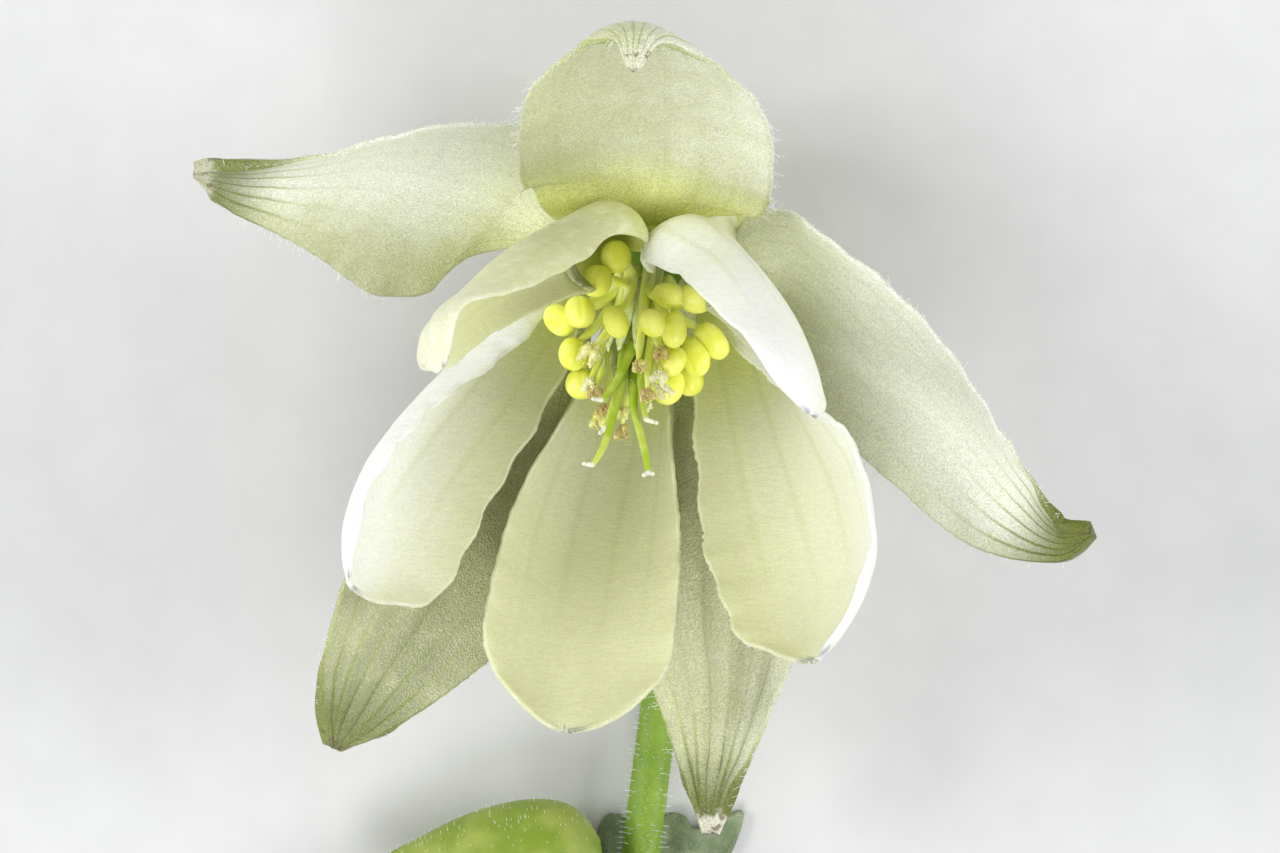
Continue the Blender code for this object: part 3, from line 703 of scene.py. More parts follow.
class Shader:
    """A material's node tree, with short calls for the nodes used here."""

    def __init__(self, name, roughness, subsurface=0.0, sheen=0.0, specular=0.4):
        self.made = bpy.data.materials.new(name)
        self.made.use_nodes = True
        self.tree = self.made.node_tree
        self.shader = self.tree.nodes["Principled BSDF"]
        self.set("Roughness", roughness)
        self.set("Specular IOR Level", specular)
        self.set("Subsurface Weight", subsurface)
        self.set("Subsurface Scale", 0.0009)
        self.set("Subsurface Radius", (1.0, 0.95, 0.55))
        self.set("Sheen Weight", sheen)

    def set(self, name, value):
        self.shader.inputs[name].default_value = value

    def node(self, kind, **inputs):
        made = self.tree.nodes.new("ShaderNode" + kind)
        for key, value in inputs.items():
            self.wire(made.inputs[key.replace("_", " ")], value)
        return made

    def wire(self, socket, value):
        if isinstance(value, bpy.types.NodeSocket):
            self.tree.links.new(value, socket)
        else:
            socket.default_value = value

    def value(self, name):
        made = self.tree.nodes.new("ShaderNodeAttribute")
        made.attribute_name = name
        return made.outputs["Fac"]

    def math(self, kind, first, second=0.0, third=0.0):
        made = self.tree.nodes.new("ShaderNodeMath")
        made.operation = kind
        for socket, value in zip(made.inputs, (first, second, third)):
            self.wire(socket, value)
        return made.outputs[0]

    def ramp(self, value, low, high, start=0.0, end=1.0):
        made = self.tree.nodes.new("ShaderNodeMapRange")
        made.interpolation_type = "SMOOTHSTEP"
        for key, number in (
            ("Value", value),
            ("From Min", low),
            ("From Max", high),
            ("To Min", start),
            ("To Max", end),
        ):
            self.wire(made.inputs[key], number)
        return made.outputs[0]

    def mix(self, factor, first, second, blend="MIX"):
        made = self.tree.nodes.new("ShaderNodeMix")
        made.data_type = "RGBA"
        made.blend_type = blend
        self.wire(made.inputs[0], factor)
        for socket, colour in ((made.inputs[6], first), (made.inputs[7], second)):
            self.wire(socket, colour if isinstance(colour, bpy.types.NodeSocket) else (*colour, 1.0))
        return made.outputs[2]

    def place(self, stretch=(1.0, 1.0, 1.0)):
        spot = self.tree.nodes.new("ShaderNodeTexCoord").outputs["Object"]
        scaled = self.tree.nodes.new("ShaderNodeMapping")
        self.wire(scaled.inputs["Vector"], spot)
        scaled.inputs["Scale"].default_value = stretch
        return scaled.outputs[0]

    def noise(self, size, detail=3.0, rough=0.5, where=None):
        """Noise whose features are about size mm wide."""
        made = self.node("TexNoise", Scale=1.0 / (size * MM), Detail=detail, Roughness=rough)
        self.wire(made.inputs["Vector"], where or self.place())
        return made.outputs["Fac"]

    def cells(self, size, feature="F1", where=None):
        made = self.node("TexVoronoi", Scale=1.0 / (size * MM))
        made.feature = feature
        self.wire(made.inputs["Vector"], where or self.place())
        return made.outputs["Distance"]

    def bump(self, height, depth, strength=1.0):
        """Relief where height from 0 to 1 stands depth mm high."""
        made = self.node("Bump", Strength=strength, Distance=depth * MM)
        self.wire(made.inputs["Height"], height)
        self.wire(self.shader.inputs["Normal"], made.outputs["Normal"])
        return made

    def colour(self, value):
        self.wire(self.shader.inputs["Base Color"], value)
        return self.made


def vein_lines(paint, count, width):
    """Thin lines along the blade, from its share across, with 1 on a vein."""
    share = paint.value("vein")
    spread = paint.math("MULTIPLY", share, count)
    off = paint.math("ABSOLUTE", paint.math("SUBTRACT", paint.math("FRACT", spread), 0.5))
    return paint.ramp(off, 0.0, width, 1.0, 0.0)


def tinted(paint, base, grain, low, high):
    """The colour made darker and lighter by a grain."""
    factor = paint.ramp(grain, 0.3, 0.7, low, high)
    grey = paint.node("CombineColor", Red=factor, Green=factor, Blue=factor).outputs[0]
    return paint.mix(1.0, base, grey, "MULTIPLY")


def petal_paint(name, inner):
    """Creamy petal: yellow-green toward the spur, with painted shade darkening it toward deep olive and
    painted light whitening it.
    """
    paint = Shader(name, 0.40, subsurface=0.55, sheen=0.04)
    run = paint.value("run")
    painted_light = paint.value("painted_light")
    grain = paint.noise(0.09, 4.0, 0.6)
    cloud = paint.noise(0.75, 2.0)
    across = paint.noise(0.34, 3.0, 0.6, paint.place((0.6, 2.4, 1.0)))
    # Painted light and shade: the painted light level moves between these tones, deep being painted shade
    # below the petal's olive and cream and white painted light above it.
    deep = (0.48, 0.49, 0.32)
    olive = (0.66, 0.67, 0.42)
    cream = (0.72, 0.73, 0.56)
    white = (0.92, 0.93, 0.86) if inner else (0.93, 0.94, 0.88)
    base = paint.mix(paint.ramp(painted_light, -0.8, 0.1), deep, olive)
    base = paint.mix(paint.ramp(painted_light, 0.0, 0.5), base, cream)
    base = paint.mix(paint.ramp(painted_light, 0.4, 1.0), base, white)
    base = paint.mix(paint.ramp(run, 13.5, 20.0, 0.0, 0.9), base, (0.66, 0.71, 0.18))
    if not inner:
        # Painted highlight: near-white patches on the outer face, in the same clouds that raise its bumps.
        painted_highlight_spots = paint.ramp(cloud, 0.46, 0.68)
        base = paint.mix(paint.math("MULTIPLY", painted_highlight_spots, 0.20), base, (0.97, 0.98, 0.91))
    veins = vein_lines(paint, 5.0, 0.16)
    veins = paint.math("MULTIPLY", veins, paint.ramp(run, 3.0, 10.0, 0.02, 0.20))
    base = paint.mix(veins, base, (0.44, 0.48, 0.16))
    base = tinted(paint, base, across, 0.96, 1.03)
    base = tinted(paint, base, grain, 0.94, 1.05)
    relief = paint.math("ADD", paint.math("MULTIPLY", grain, 0.5), paint.math("MULTIPLY", across, 0.7))
    relief = paint.math("ADD", relief, paint.math("MULTIPLY", cloud, 0.9 if not inner else 0.3))
    paint.bump(relief, 0.07, 0.6)
    return paint.colour(base)


def sepal_paint(name):
    """Greenish white sepal with parallel veins, a green tip, a granular sparkle of painted glints, and
    painted light and shade across it.
    """
    paint = Shader(name, 0.36, subsurface=0.22, sheen=0.06, specular=0.5)
    tip = paint.value("tip")
    foot = paint.value("foot")
    painted_light = paint.value("painted_light")
    cell = paint.cells(0.10)
    grain = paint.noise(0.085, 3.0, 0.75)
    cloud = paint.noise(1.6, 4.0, 0.6)
    # Painted light and shade: the painted light level, made patchy by the cloud, darkens the sepal toward
    # grey-green or lightens it toward near white.
    shift = paint.math("MULTIPLY", paint.math("SUBTRACT", cloud, 0.5), 0.5)
    level = paint.math("ADD", painted_light, shift)
    base = paint.mix(paint.ramp(level, 0.0, 0.5), (0.42, 0.44, 0.24), (0.66, 0.68, 0.43))
    base = paint.mix(paint.ramp(level, 0.45, 1.0), base, (0.90, 0.92, 0.78))
    veins = vein_lines(paint, 7.0, 0.17)
    near_tip = paint.ramp(tip, 0.5, 8.0, 0.85, paint.value("stripes"))
    near_foot = paint.ramp(foot, 13.0, 2.0, 0.0, 0.55)
    near_foot = paint.math("MULTIPLY", near_foot, paint.value("green"))
    strength = paint.math("MAXIMUM", near_tip, near_foot)
    base = paint.mix(paint.math("MULTIPLY", veins, strength), base, (0.46, 0.53, 0.15))
    footing = paint.math("MULTIPLY", paint.ramp(foot, 9.5, 3.0), paint.value("green"))
    base = paint.mix(footing, base, (0.84, 0.89, 0.20))
    green = paint.math("ADD", tip, paint.math("MULTIPLY", veins, -0.8))
    dark = paint.math("MULTIPLY", paint.ramp(green, 4.5, 1.0), paint.value("dark_tip"))
    base = paint.mix(dark, base, (0.14, 0.17, 0.015))
    end = paint.ramp(paint.math("SUBTRACT", tip, paint.noise(0.5, 2.0)), 0.55, 0.1)
    base = paint.mix(paint.math("MULTIPLY", end, paint.value("pale_end")), base, (0.80, 0.78, 0.62))
    spot = paint.math("MULTIPLY", paint.ramp(paint.noise(0.40, 2.0), 0.55, 0.64), paint.ramp(tip, 1.6, 0.5))
    base = paint.mix(paint.math("MULTIPLY", spot, 0.8), base, (0.16, 0.12, 0.04))
    base = tinted(paint, base, grain, 0.74, 1.14)
    base = tinted(paint, base, paint.noise(0.19, 3.0, 0.7), 0.93, 1.05)
    glint = paint.math("MULTIPLY", paint.ramp(grain, 0.62, 0.72), paint.ramp(tip, 1.0, 4.0, 0.1, 0.6))
    base = paint.mix(glint, base, (0.96, 0.97, 0.92))
    relief = paint.math("ADD", paint.math("MULTIPLY", cell, 0.7), paint.math("MULTIPLY", veins, -0.5))
    paint.bump(paint.math("ADD", relief, paint.math("MULTIPLY", cloud, 1.2)), 0.07, 0.9)
    return paint.colour(base)


def plain_paint(name, first, second, size, roughness, depth, subsurface):
    """Two tones in soft clouds with a fine grain."""
    paint = Shader(name, roughness, subsurface=subsurface)
    cloud = paint.noise(size, 3.0, 0.6)
    grain = paint.noise(0.08, 2.0)
    base = paint.mix(paint.ramp(cloud, 0.36, 0.64), first, second)
    paint.bump(grain, depth, 0.7)
    return paint, base


def painted_light_level(kind, share, run, length):
    """Painted light and shade over the blade, from -1 to 1: (level, gain to the side, gain to the tip,
    side).
    """
    level, sideways, tipward, centre = kind
    tip = 1.0 - np.clip(run / length, 0.0, 1.0)[:, None]
    return np.clip(level + sideways * (share - centre)[None, :] + tipward * tip, -1.0, 1.0)


def build_petals(paints):
    for name, (azimuth, rows, tip_round) in PETALS.items():
        left, right, teeth = PETAL_EDGES[name]
        stations = np.linspace(0.0, 1.0, PETAL_STATIONS) ** 1.15
        trim = THROAT_TRIM.get(name, (0.0, 1.0))
        wave = 0.03 if "upper" in name else 0.10
        data = blade(azimuth, rows + SPUR, stations, PETAL_COLUMNS, tip_round, wave, trim)
        sheet, share, run = data["sheet"], data["share"], data["run"]
        fade = np.clip((data["open"] - np.arange(len(run))) / 25.0, 0.0, 1.0)[:, None]
        seed = int(azimuth) % 97
        for side, strength in ((-1.0, left), (1.0, right)):
            margin = np.clip(share * side, 0.0, 1.0) ** 6
            ripple = waves(run, 1.3, seed + int(side)) * strength
            sheet += (ripple[:, None] * margin * fade)[..., None] * data["up"]
            bite = waves(run, 0.5, seed + 5 + int(side)) * teeth
            sheet += (bite[:, None] * margin * side * fade)[..., None] * data["out"]
        rim = np.clip(1.0 - run / 0.7, 0.0, 1.0)[:, None] ** 1.5
        scallop = waves(share * 3.0, 0.9, seed + 11) * teeth * 1.4
        if name == "petal_bottom":
            scallop -= 0.30 * np.exp(-(((share - 0.08) / 0.07) ** 2))
        sheet -= (rim * scallop)[..., None] * data["along"][:, None]
        fold = 0.035 * np.cos(share * math.pi * 4.0) * (1 - share**2)
        sheet += (fold * fade * np.clip(run / 3.0, 0, 1)[:, None])[..., None] * data["up"]
        throat = np.exp(-(((run - run[data["open"]] + 2.8) / 2.6) ** 2))
        outward, across = out_and_across(azimuth)
        sideways, outside = THROAT_PUSH.get(name, (0.0, 0.0))
        sheet += throat[:, None, None] * (sideways * across + outside * outward)
        shape = sheet.shape[:2]
        values = {
            "run": np.broadcast_to(run[:, None], shape),
            # painted light and shade of the petal, kept per point for its material
            "painted_light": painted_light_level(PETAL_LIGHT[name], share, run, PETAL_LENGTH),
            "vein": np.broadcast_to(share * 0.5 + 3.0, shape),
        }
        used = np.ones(shape, bool)
        used[data["open"]:, -1] = False
        made = mesh_object(
            name + "_fine", sheet.reshape(-1, 3), sheet_quads(shape, data["open"], True), paints, values
        )
        near = np.clip(1 - share**8, 0, 1)[None, :] * np.clip(run / 0.6, 0.25, 1)[:, None]
        factor = np.broadcast_to(0.22 + 0.33 * near, shape)
        thicken(made, WALL, factor[used], 1)
        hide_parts(name)


def build_sepals(paints, hair):
    for name, (azimuth, rows) in SEPALS.items():
        stations = np.linspace(0.0, 1.0, SEPAL_STATIONS)
        kept, foot_rows = FEET.get(name, (len(rows), []))
        rows = rows[:kept] + foot_rows
        data = blade(azimuth, rows, stations, SEPAL_COLUMNS)
        sheet, share, run = data["sheet"], data["share"], data["run"]
        seed = int(azimuth) % 89
        full = np.clip(data["half"] / 2.0, 0, 1)[:, None]
        furrow = SEPAL_FURROW.get(name, 0.012) * np.cos(share * math.pi * 5.0) * (1 - share**4)
        sheet += (furrow * full)[..., None] * data["up"]
        for side in (-1.0, 1.0):
            margin = np.clip(share * side, 0.0, 1.0) ** 5
            ripple = waves(run, 2.4, seed + int(side)) * 0.10
            sheet += (ripple[:, None] * margin * full)[..., None] * data["up"]
            bite = waves(run, 0.7, seed + 7 + int(side)) * 0.025
            sheet += (bite[:, None] * margin * side * full)[..., None] * data["out"]
        shape = sheet.shape[:2]
        foot = run[-1] - run
        values = {
            "tip": np.broadcast_to(run[:, None], shape),
            "foot": np.broadcast_to(foot[:, None], shape),
            # painted light and shade of the sepal, kept per point for its material
            "painted_light": painted_light_level(SEPAL_LIGHT[name], share, run, SEPAL_LENGTH),
            "vein": np.broadcast_to(share * 0.5 + 3.0, shape),
            "pale_end": np.full(shape, PALE_END.get(name, 0.0)),
            "stripes": np.full(shape, SEPAL_STRIPES.get(name, 0.05)),
            "green": np.full(shape, GREEN_FOOT.get(name, 0.35)),
            "dark_tip": np.full(shape, DARK_TIP[name]),
        }
        made = mesh_object(
            name + "_fine", sheet.reshape(-1, 3), sheet_quads(shape, shape[0], False), paints, values
        )
        thick = np.clip(1.2 - run / 3.0, 0.0, 0.6)[:, None] + 0.25 + 0.30 * (1 - share**6)[None, :]
        thicken(made, WALL, np.clip(thick, 0, 1).ravel(), 1)
        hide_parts(name)
        margin_hairs(name + "_hairs", data, hair)


def tubes_mesh(paths, radii, sides):
    """Points and faces of many thin tubes at once: paths is tubes by points by 3."""
    paths = np.asarray(paths, float)
    count, length = paths.shape[:2]
    along = unit(np.gradient(paths, axis=1))
    start = np.cross(along[:, 0], np.array([0.37, 0.61, 0.70]))
    first = unit(start)[:, None]
    first = unit(first - (first * along).sum(-1, keepdims=True) * along)
    second = np.cross(along, first)
    turn = np.arange(sides) * 2 * math.pi / sides
    radii = np.broadcast_to(radii, (count, length))[..., None, None]
    rings = paths[:, :, None] + radii * (
        np.cos(turn)[:, None] * first[:, :, None] + np.sin(turn)[:, None] * second[:, :, None]
    )
    number = np.arange(count * length * sides).reshape(count, length, sides)
    a, b = number[:, :-1], np.roll(number[:, :-1], -1, axis=2)
    c, d = np.roll(number[:, 1:], -1, axis=2), number[:, 1:]
    quads = np.stack([a, b, c, d], axis=-1).reshape(-1, 4).tolist()
    caps = number[:, 0, ::-1].tolist() + number[:, -1].tolist()
    return rings.reshape(-1, 3), [tuple(q) for q in quads] + [tuple(cap) for cap in caps]


def hair_object(name, roots, ways, lengths, paint, thick=0.022, head=0.0):
    """Short bent hairs, each with a small round head if head is given."""
    roots, ways = np.asarray(roots), unit(ways)
    bend = unit(ways + chance.normal(0.0, 0.35, ways.shape))
    steps = np.array([0.0, 0.35, 0.7, 1.0])
    lengths = np.asarray(lengths)[:, None, None]
    paths = roots[:, None] - 0.05 * ways[:, None] + lengths * (
        steps[:, None] * ways[:, None] * (1 - 0.4 * steps[:, None])
        + 0.4 * steps[:, None] ** 2 * bend[:, None]
    )
    radii = thick * np.array([1.0, 0.85, 0.65, 0.4])
    if head:
        tip, way = paths[:, -1:], unit(paths[:, -1] - paths[:, -2])[:, None]
        paths = np.concatenate([paths, tip + way * head * np.array([0.4, 1.2, 2.0])[:, None]], axis=1)
        radii = np.concatenate([radii, np.array([0.9, 0.9, 0.25]) * head])
    points, faces = tubes_mesh(paths, radii, 4 if head else 3)
    made = mesh_object(name, points, faces, [paint])
    return made


def margin_hairs(name, data, paint):
    """Gland-tipped hairs along both margins of a sepal."""
    sheet, run = data["sheet"], data["run"]
    roots, ways = [], []
    for side in (0, -1):
        place = np.sort(chance.uniform(1.0, run[-1] - 5.0, MARGIN_HAIRS))
        index = np.searchsorted(run, place)
        sign = 1.0 if side == -1 else -1.0
        roots.append(sheet[index, side])
        way = sign * data["out"][index, side] + chance.normal(0.0, 0.35, (len(index), 3))
        ways.append(way)
    roots, ways = np.concatenate(roots), np.concatenate(ways)
    lengths = chance.uniform(0.22, 0.55, len(roots))
    hair_object(name, roots, ways, lengths, paint, 0.016, 0.030)


def egg(centre, axis, side, length, width, depth, rings=18, around=24, suture=0.0):
    """An egg with these half sizes, creased along the middle of both its faces by suture."""
    axis = unit(axis)
    side = unit(side - side.dot(axis) * axis)
    front = np.cross(axis, side)
    level = np.linspace(0.02, math.pi - 0.02, rings)[:, None]
    turn = np.linspace(0, 2 * math.pi, around, endpoint=False)[None, :]
    wide = np.sin(level) ** 0.85 * (1 - suture * np.exp(-((np.cos(turn) / 0.15) ** 2)))
    points = (
        np.asarray(centre)
        + (-np.cos(level) * length * np.ones_like(turn))[..., None] * axis
        + (wide * width * np.cos(turn))[..., None] * side
        + (wide * depth * np.sin(turn))[..., None] * front
    )
    number = np.arange(rings * around).reshape(rings, around)
    a, b = number[:-1], np.roll(number[:-1], -1, axis=1)
    c, d = np.roll(number[1:], -1, axis=1), number[1:]
    faces = [tuple(q) for q in np.stack([a, b, c, d], axis=-1).reshape(-1, 4).tolist()]
    faces += [tuple(reversed(number[0].tolist())), tuple(number[-1].tolist())]
    return points.reshape(-1, 3), faces


def merged(shapes):
    points, faces, total = [], [], 0
    for place, group in shapes:
        points.append(place)
        faces += [tuple(number + total for number in face) for face in group]
        total += len(place)
    return np.concatenate(points), faces


def tube_along(path, radii, sides):
    return tubes_mesh(np.asarray(path, float)[None], np.asarray(radii, float)[None], sides)


def in_bloom(right, up, forward):
    """A point given by its distances from the flower's centre along the flower's own axes."""
    return FLOWER_CENTRE + right * SIDE + up * UP + forward * FORWARD


def filament(end, root_far, root_height):
    """A filament that runs forward beside the axis and then out to its anther."""
    right, up, forward = (float((end - FLOWER_CENTRE) @ way) for way in (SIDE, UP, FORWARD))
    far = math.hypot(right, up)
    way = np.array([right, up]) / far
    root = in_bloom(*(way * root_far), root_height)
    near = in_bloom(*(way * min(far, root_far + 0.1)), max(0.35 * forward, root_height + 0.2))
    bend = in_bloom(*(way * (0.45 * far + 0.55 * root_far)), 0.72 * forward)
    path = smooth(np.array([root, near, bend, end]), np.linspace(0.0, 1.0, 28))
    level = np.linspace(0.0, 1.0, 28)
    return tube_along(path, 0.24 - 0.06 * level - 0.10 * np.clip((level - 0.8) / 0.2, 0, 1), 12)


def anther_axes(lean, roll, pitch):
    """The long axis of an anther and the way across its two lobes."""
    lean, roll = math.radians(lean), math.radians(roll)
    axis = unit([math.sin(lean), -math.cos(lean), pitch])
    flat = unit(np.cross([0.0, 0.0, 1.0], axis))
    facing = np.cross(axis, flat)
    return axis, math.cos(roll) * flat + math.sin(roll) * facing


def build_stamens(plump_paint, open_paint, thread_paint):
    """Filaments, closed anthers of two plump lobes, and shed ones of crumpled valves."""
    threads, plump, opened, tones = [], [], [], []
    for right, up, forward, lean, roll, pitch, size in PLUMP_ANTHERS:
        middle = in_bloom(right, up, forward)
        axis, across = anther_axes(lean, roll, pitch)
        plump.append(
            egg(middle, axis, across, size, ANTHER_WIDTH, ANTHER_DEPTH, 26, 48, ANTHER_CREASE)
        )
        threads.append(filament(middle - axis * size * 0.7, 1.35, -0.2))
    for right, up, forward, lean, size, tone in SHED_ANTHERS:
        middle = in_bloom(right, up, forward)
        axis, across = anther_axes(lean, 20.0, 0.3)
        shapes = shed_anther(middle, axis, across, size)
        opened += shapes
        tones += [np.full(len(points), tone) for points, _ in shapes]
        threads.append(filament(middle - axis * size * 0.6, 1.15, 0.3))
    made = mesh_object("stamens_plump_fine", *merged(plump), [plump_paint])
    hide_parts("stamens_plump")
    made = mesh_object("stamens_open_fine", *merged(opened), [open_paint], {"tone": np.concatenate(tones)})
    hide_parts("stamens_open")
    made = mesh_object("filaments", *merged(threads), [thread_paint])


def shed_anther(middle, axis, across, size):
    """A shed anther: two crumpled valves with pollen grains on them."""
    shapes = []
    front = np.cross(axis, across)
    for way in (-1.0, 1.0):
        points, faces = egg(
            middle + way * 0.45 * size * across, axis + way * 0.3 * across, across,
            size, 0.45 * size, 0.5 * size, 16, 20,
        )
        arm = points - middle
        phase = chance.uniform(0.0, 6.0)
        crumple = 0.16 * np.sin(arm @ axis * 9.0 + phase) + 0.14 * np.sin(arm @ across * 14.0 + 2.0 * phase)
        crumple += 0.12 * np.sin(arm @ front * 17.0 + phase)
        shapes.append((middle + arm * (1 + crumple)[:, None], faces))
    for _ in range(POLLEN_GRAINS):
        spot = chance.normal(0.0, 1.0, 3)
        spot = spot / np.linalg.norm(spot) * (1.05, 0.85, 0.6) * size
        centre = middle + spot[0] * axis + spot[1] * across + spot[2] * front
        grain = chance.uniform(0.035, 0.06)
        shapes.append(egg(centre, axis, across, grain, grain, grain, 6, 7))
    return shapes


def build_staminodes(paint):
    """Pale scales with ruffled, toothed margins round the carpels."""
    shapes = []
    for number in range(10):
        middle = 4.0 + 36.0 * number
        rows, columns = 44, 23
        level = np.linspace(0.0, 1.0, rows)[:, None]
        share = np.linspace(-1.0, 1.0, columns)[None, :]
        wide = 21.0 * (1 - 0.85 * level**3)
        azimuth = middle + wide * share
        ruffle = 0.07 * level * np.abs(share) ** 2 * np.sin(level * 30.0 + number + 2.0 * np.sign(share))
        teeth = 0.04 * np.sin(level * 75.0 + number) * np.abs(share) ** 6
        far = 1.16 + 0.10 * level + ruffle + 0.05 * (number % 2)
        top = 4.7 + 0.45 * math.sin(number * 2.1)
        high = 0.4 + (top - 0.4) * level + teeth
        turn = np.radians(azimuth)
        grid = (
            FLOWER_CENTRE
            + (far * np.sin(turn))[..., None] * SIDE
            + (far * np.cos(turn))[..., None] * UP
            + high[..., None] * FORWARD
        )
        shapes.append((grid.reshape(-1, 3), sheet_quads((rows, columns), rows, False)))
    made = mesh_object("staminodes_fine", *merged(shapes), [paint])
    thicken(made, 0.10, np.ones(len(made.data.vertices)))
    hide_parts("staminodes")


def build_pistils(paint, stigma_paint, hair):
    """Carpels round the axis, each drawn out into a style with a pale hooked end."""
    shapes, tips, roots, ways = [], [], [], []
    for azimuth, style, hook in STYLES:
        turn = math.radians(azimuth)
        way = 0.40 * math.sin(turn), 0.40 * math.cos(turn)
        foot = [in_bloom(*way, height) for height in (-0.4, 0.8, 2.2, 3.6)]
        path = np.array(foot + [in_bloom(*place) for place in style])
        radii = np.concatenate([[0.30, 0.36, 0.38, 0.35], np.linspace(0.27, 0.12, len(style))])
        radii[5:] = np.minimum(radii[5:], 0.17)
        fine = smooth(np.column_stack([path, radii]), np.linspace(0, 1, 110))
        shapes.append(tube_along(fine[:, :3], fine[:, 3], 16))
        end = path[-1]
        for place in hook:
            tip = in_bloom(*place)
            curve = bowed(end, 0.5 * (end + tip) + 0.04 * FORWARD, tip, 12)
            tips.append(tube_along(curve, np.linspace(0.125, 0.085, 12), 12))
            tips.append(egg(tip, tip - end, UP, 0.11, 0.10, 0.10, 10, 12))
        for _ in range(CARPEL_HAIRS):
            spot = int(chance.integers(4, 62))
            side = unit(np.cross(fine[spot + 1, :3] - fine[spot, :3], chance.normal(0, 1, 3)))
            roots.append(fine[spot, :3] + side * fine[spot, 3])
            ways.append(side + 0.3 * FORWARD)
    made = mesh_object("pistils_fine", *merged(shapes), [paint])
    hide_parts("pistils")
    made = mesh_object("stigmas", *merged(tips), [stigma_paint])
    lengths = chance.uniform(0.12, 0.25, len(roots))
    hair_object("pistil_hairs", roots, ways, lengths, hair, 0.012)


def build_stem(paint, hair):
    fine = smooth(np.array(STEM_PATH), np.linspace(0.0, 1.0, 260))
    centre, radius = fine[:, :3] + FLOWER_CENTRE, fine[:, 3]
    points, faces = tube_along(centre, radius, 40)
    rings = points.reshape(len(fine), 40, 3)
    turn = np.arange(40) * 2 * math.pi / 40
    groove = 1 - 0.035 * (1 + np.cos(turn * 7)) / 2
    rings = centre[:, None] + (rings - centre[:, None]) * groove[:, None]
    rings[..., 2] = np.maximum(rings[..., 2], 0.0)
    stalk = smooth(np.array(BUD_STALK), np.linspace(0.0, 1.0, 50))
    stalk_centre, stalk_radius = stalk[:, :3] + FLOWER_CENTRE, stalk[:, 3]
    stalk_tube = tube_along(stalk_centre, stalk_radius * 0.97, 24)
    joined = merged([(rings.reshape(-1, 3), faces), stalk_tube])
    made = mesh_object("stem_fine", *joined, [paint])
    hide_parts("stem")
    roots, ways = [], []
    for path, wide, count, covered in (
        (centre, radius, STEM_HAIRS, 0.90),
        (stalk_centre, stalk_radius, STALK_HAIRS, 0.95),
    ):
        last = int(len(path) * covered)
        spot = chance.integers(1, last, count)
        around = chance.normal(0, 1, (count, 3))
        way = unit(np.cross(path[spot + 1] - path[spot], around))
        root = path[spot] + way * wide[spot][:, None] * 0.97
        keep = (root[:, 2] + 0.5 * way[:, 2]) > 0.08
        roots.append(root[keep])
        ways.append(way[keep])
    roots, ways = np.concatenate(roots), np.concatenate(ways)
    lengths = chance.uniform(0.25, 0.50, len(roots))
    hair_object("stem_hairs", roots, ways, lengths, hair, 0.017)


def build_bud(paint, hair):
    points, faces = bud_shape(110, 80)
    made = mesh_object("bud_fine", points, faces, [paint])
    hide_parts("bud")
    spot = chance.integers(80, len(points) - 80, BUD_HAIRS)
    turn = math.radians(BUD_TURN)
    along = np.array([math.cos(turn), math.sin(turn), 0.0])
    axis_place = FLOWER_CENTRE + np.array(BUD_BASE)
    level = (points[spot] - axis_place) @ along
    way = unit(points[spot] - axis_place - level[:, None] * along + 0.15 * along)
    keep = points[spot][:, 2] + 0.4 * way[:, 2] > 0.08
    lengths = chance.uniform(0.15, 0.32, keep.sum())
    hair_object("bud_hairs", points[spot][keep], way[keep], lengths, hair, 0.014)


def build_bract(paint, hair):
    sheet = bract_sheet(60, 141)
    shape = sheet.shape[:2]
    level = np.linspace(0.08, 1.0, shape[0])[:, None]
    turn = np.linspace(0, 1, shape[1])[None, :]
    sheet[..., 2] += 0.03 * level * np.cos(turn * 60.0)
    values = {"level": np.broadcast_to(level, shape), "vein": np.broadcast_to(turn + 1, shape)}
    faces = sheet_quads(shape, shape[0], False)
    made = mesh_object("bract_fine", sheet.reshape(-1, 3), faces, [paint], values)
    thicken(made, WALL, np.full(shape, BRACT_THINNING).ravel())
    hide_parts("bract")
    row = chance.integers(8, 60, BRACT_HAIRS)
    column = chance.integers(1, 140, BRACT_HAIRS)
    roots = sheet[row, column] + (0, 0, 0.14)
    ways = chance.normal(0, 0.4, roots.shape) + (0, 0, 1.0)
    lengths = chance.uniform(0.15, 0.3, BRACT_HAIRS)
    hair_object("bract_hairs", roots, ways, lengths, hair, 0.013)


def shed_tones(paint, base):
    """Pale where a shed anther's tone is near 0, and brown in patches where it is near 1."""
    tone = paint.value("tone")
    pale = paint.mix(paint.ramp(tone, 0.3, 0.0, 0.0, 0.6), base, (0.90, 0.90, 0.72))
    level = paint.math("ADD", tone, paint.math("MULTIPLY", paint.noise(0.22, 2.0), 1.2))
    return paint.mix(paint.ramp(level, 0.85, 1.3), pale, (0.50, 0.37, 0.14))


def paint_all():
    """Every material, by name."""
    made = {}
    made["petal_in"] = petal_paint("petal_inner", True)
    made["petal_out"] = petal_paint("petal_outer", False)
    made["sepal_in"] = sepal_paint("sepal_inner")
    made["sepal_out"] = sepal_paint("sepal_outer")
    for key, (name, *look) in PLAIN_PAINTS.items():
        paint, base = plain_paint(name, *look)
        if key == "open":
            base = shed_tones(paint, base)
        made[key] = paint.colour(base)
    return made


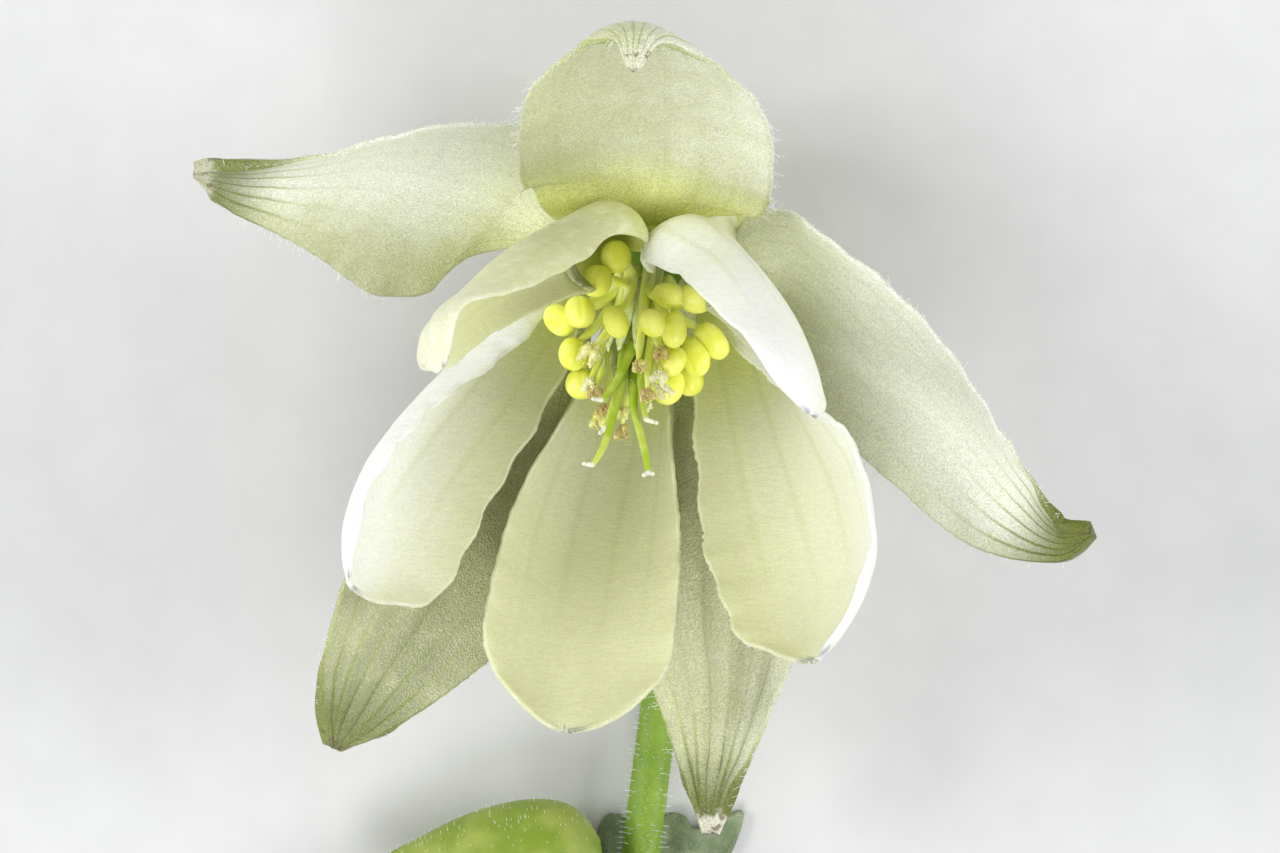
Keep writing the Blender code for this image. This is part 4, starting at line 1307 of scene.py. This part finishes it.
def build_stage():
    """A pale floor and soft lights from both sides, in front, above and behind."""
    floor = bpy.data.meshes.new("floor")
    wide, low = 0.6, -2e-5
    corners = [(-wide, -wide, low), (wide, -wide, low), (wide, wide, low), (-wide, wide, low)]
    floor.from_pydata(corners, [], [(0, 1, 2, 3)])
    ground = bpy.data.objects.new("floor", floor)
    bpy.context.scene.collection.objects.link(ground)
    paint = Shader("floor_grey", 0.85)
    tone = paint.ramp(paint.noise(3.0, 2.0), 0.3, 0.7, 0.62, 0.64)
    grey = paint.node("CombineColor", Red=tone, Green=tone, Blue=tone).outputs[0]
    floor.materials.append(paint.colour(grey))
    for name, place, size, watts in (
        ("left", (-0.42, 0.10, 0.30), 0.24, 1.65),
        ("right", (0.42, 0.05, 0.30), 0.24, 1.35),
        ("front", (-0.06, -0.32, 0.36), 0.22, 0.95),
        ("back", (0.05, 0.50, 0.30), 0.26, 0.25),
        ("top", (0.0, -0.15, 0.60), 0.30, 0.3),
    ):
        light = bpy.data.lights.new(name, "AREA")
        light.shape = "SQUARE"
        light.size = size
        light.energy = watts
        lamp = bpy.data.objects.new(name, light)
        lamp.location = place
        aim = Vector((0.0, 0.01, 0.012)) - Vector(place)
        lamp.rotation_euler = aim.to_track_quat("-Z", "Y").to_euler()
        bpy.context.scene.collection.objects.link(lamp)
    world = bpy.data.worlds.new("studio")
    bpy.context.scene.world = world
    world.use_nodes = True
    sky = world.node_tree.nodes["Background"]
    sky.inputs["Color"].default_value = (0.95, 0.97, 1.0, 1.0)
    sky.inputs["Strength"].default_value = 0.43
    bpy.context.scene.view_settings.view_transform = "Standard"


def build_camera():
    """Straight above the flower, aimed at the middle of the photograph's frame."""
    data = bpy.data.cameras.new("camera")
    data.sensor_width = 36.0
    data.lens = 36.0 * CAMERA_DISTANCE * PIXELS_PER_MM / PHOTO_SIZE[0]
    data.clip_start, data.clip_end = 0.01, 5.0
    made = bpy.data.objects.new("camera", data)
    bpy.context.scene.collection.objects.link(made)
    place = FLOWER_CENTRE + np.array([0.0, 0.0, CAMERA_DISTANCE])
    aim = FLOWER_CENTRE + np.array(
        [
            (PHOTO_SIZE[0] / 2 - FLOWER_AT[0]) / PIXELS_PER_MM,
            (FLOWER_AT[1] - PHOTO_SIZE[1] / 2) / PIXELS_PER_MM,
            0.0,
        ]
    )
    back = unit(place - aim)
    right = unit(np.cross((0.0, 1.0, 0.0), back))
    turned = Matrix(np.stack([right, np.cross(back, right), back], axis=1).tolist())
    made.location = Vector(place * MM)
    made.rotation_euler = turned.to_euler()
    bpy.context.scene.camera = made


paints = paint_all()
build_petals([paints["petal_out"], paints["petal_in"]])
build_sepals([paints["sepal_out"], paints["sepal_in"]], paints["hair"])
build_stamens(paints["plump"], paints["open"], paints["thread"])
build_staminodes(paints["scale"])
build_pistils(paints["carpel"], paints["stigma"], paints["hair"])
build_stem(paints["stem"], paints["hair"])
build_bud(paints["bud"], paints["hair"])
build_bract(paints["bract"], paints["hair"])
build_stage()
build_camera()
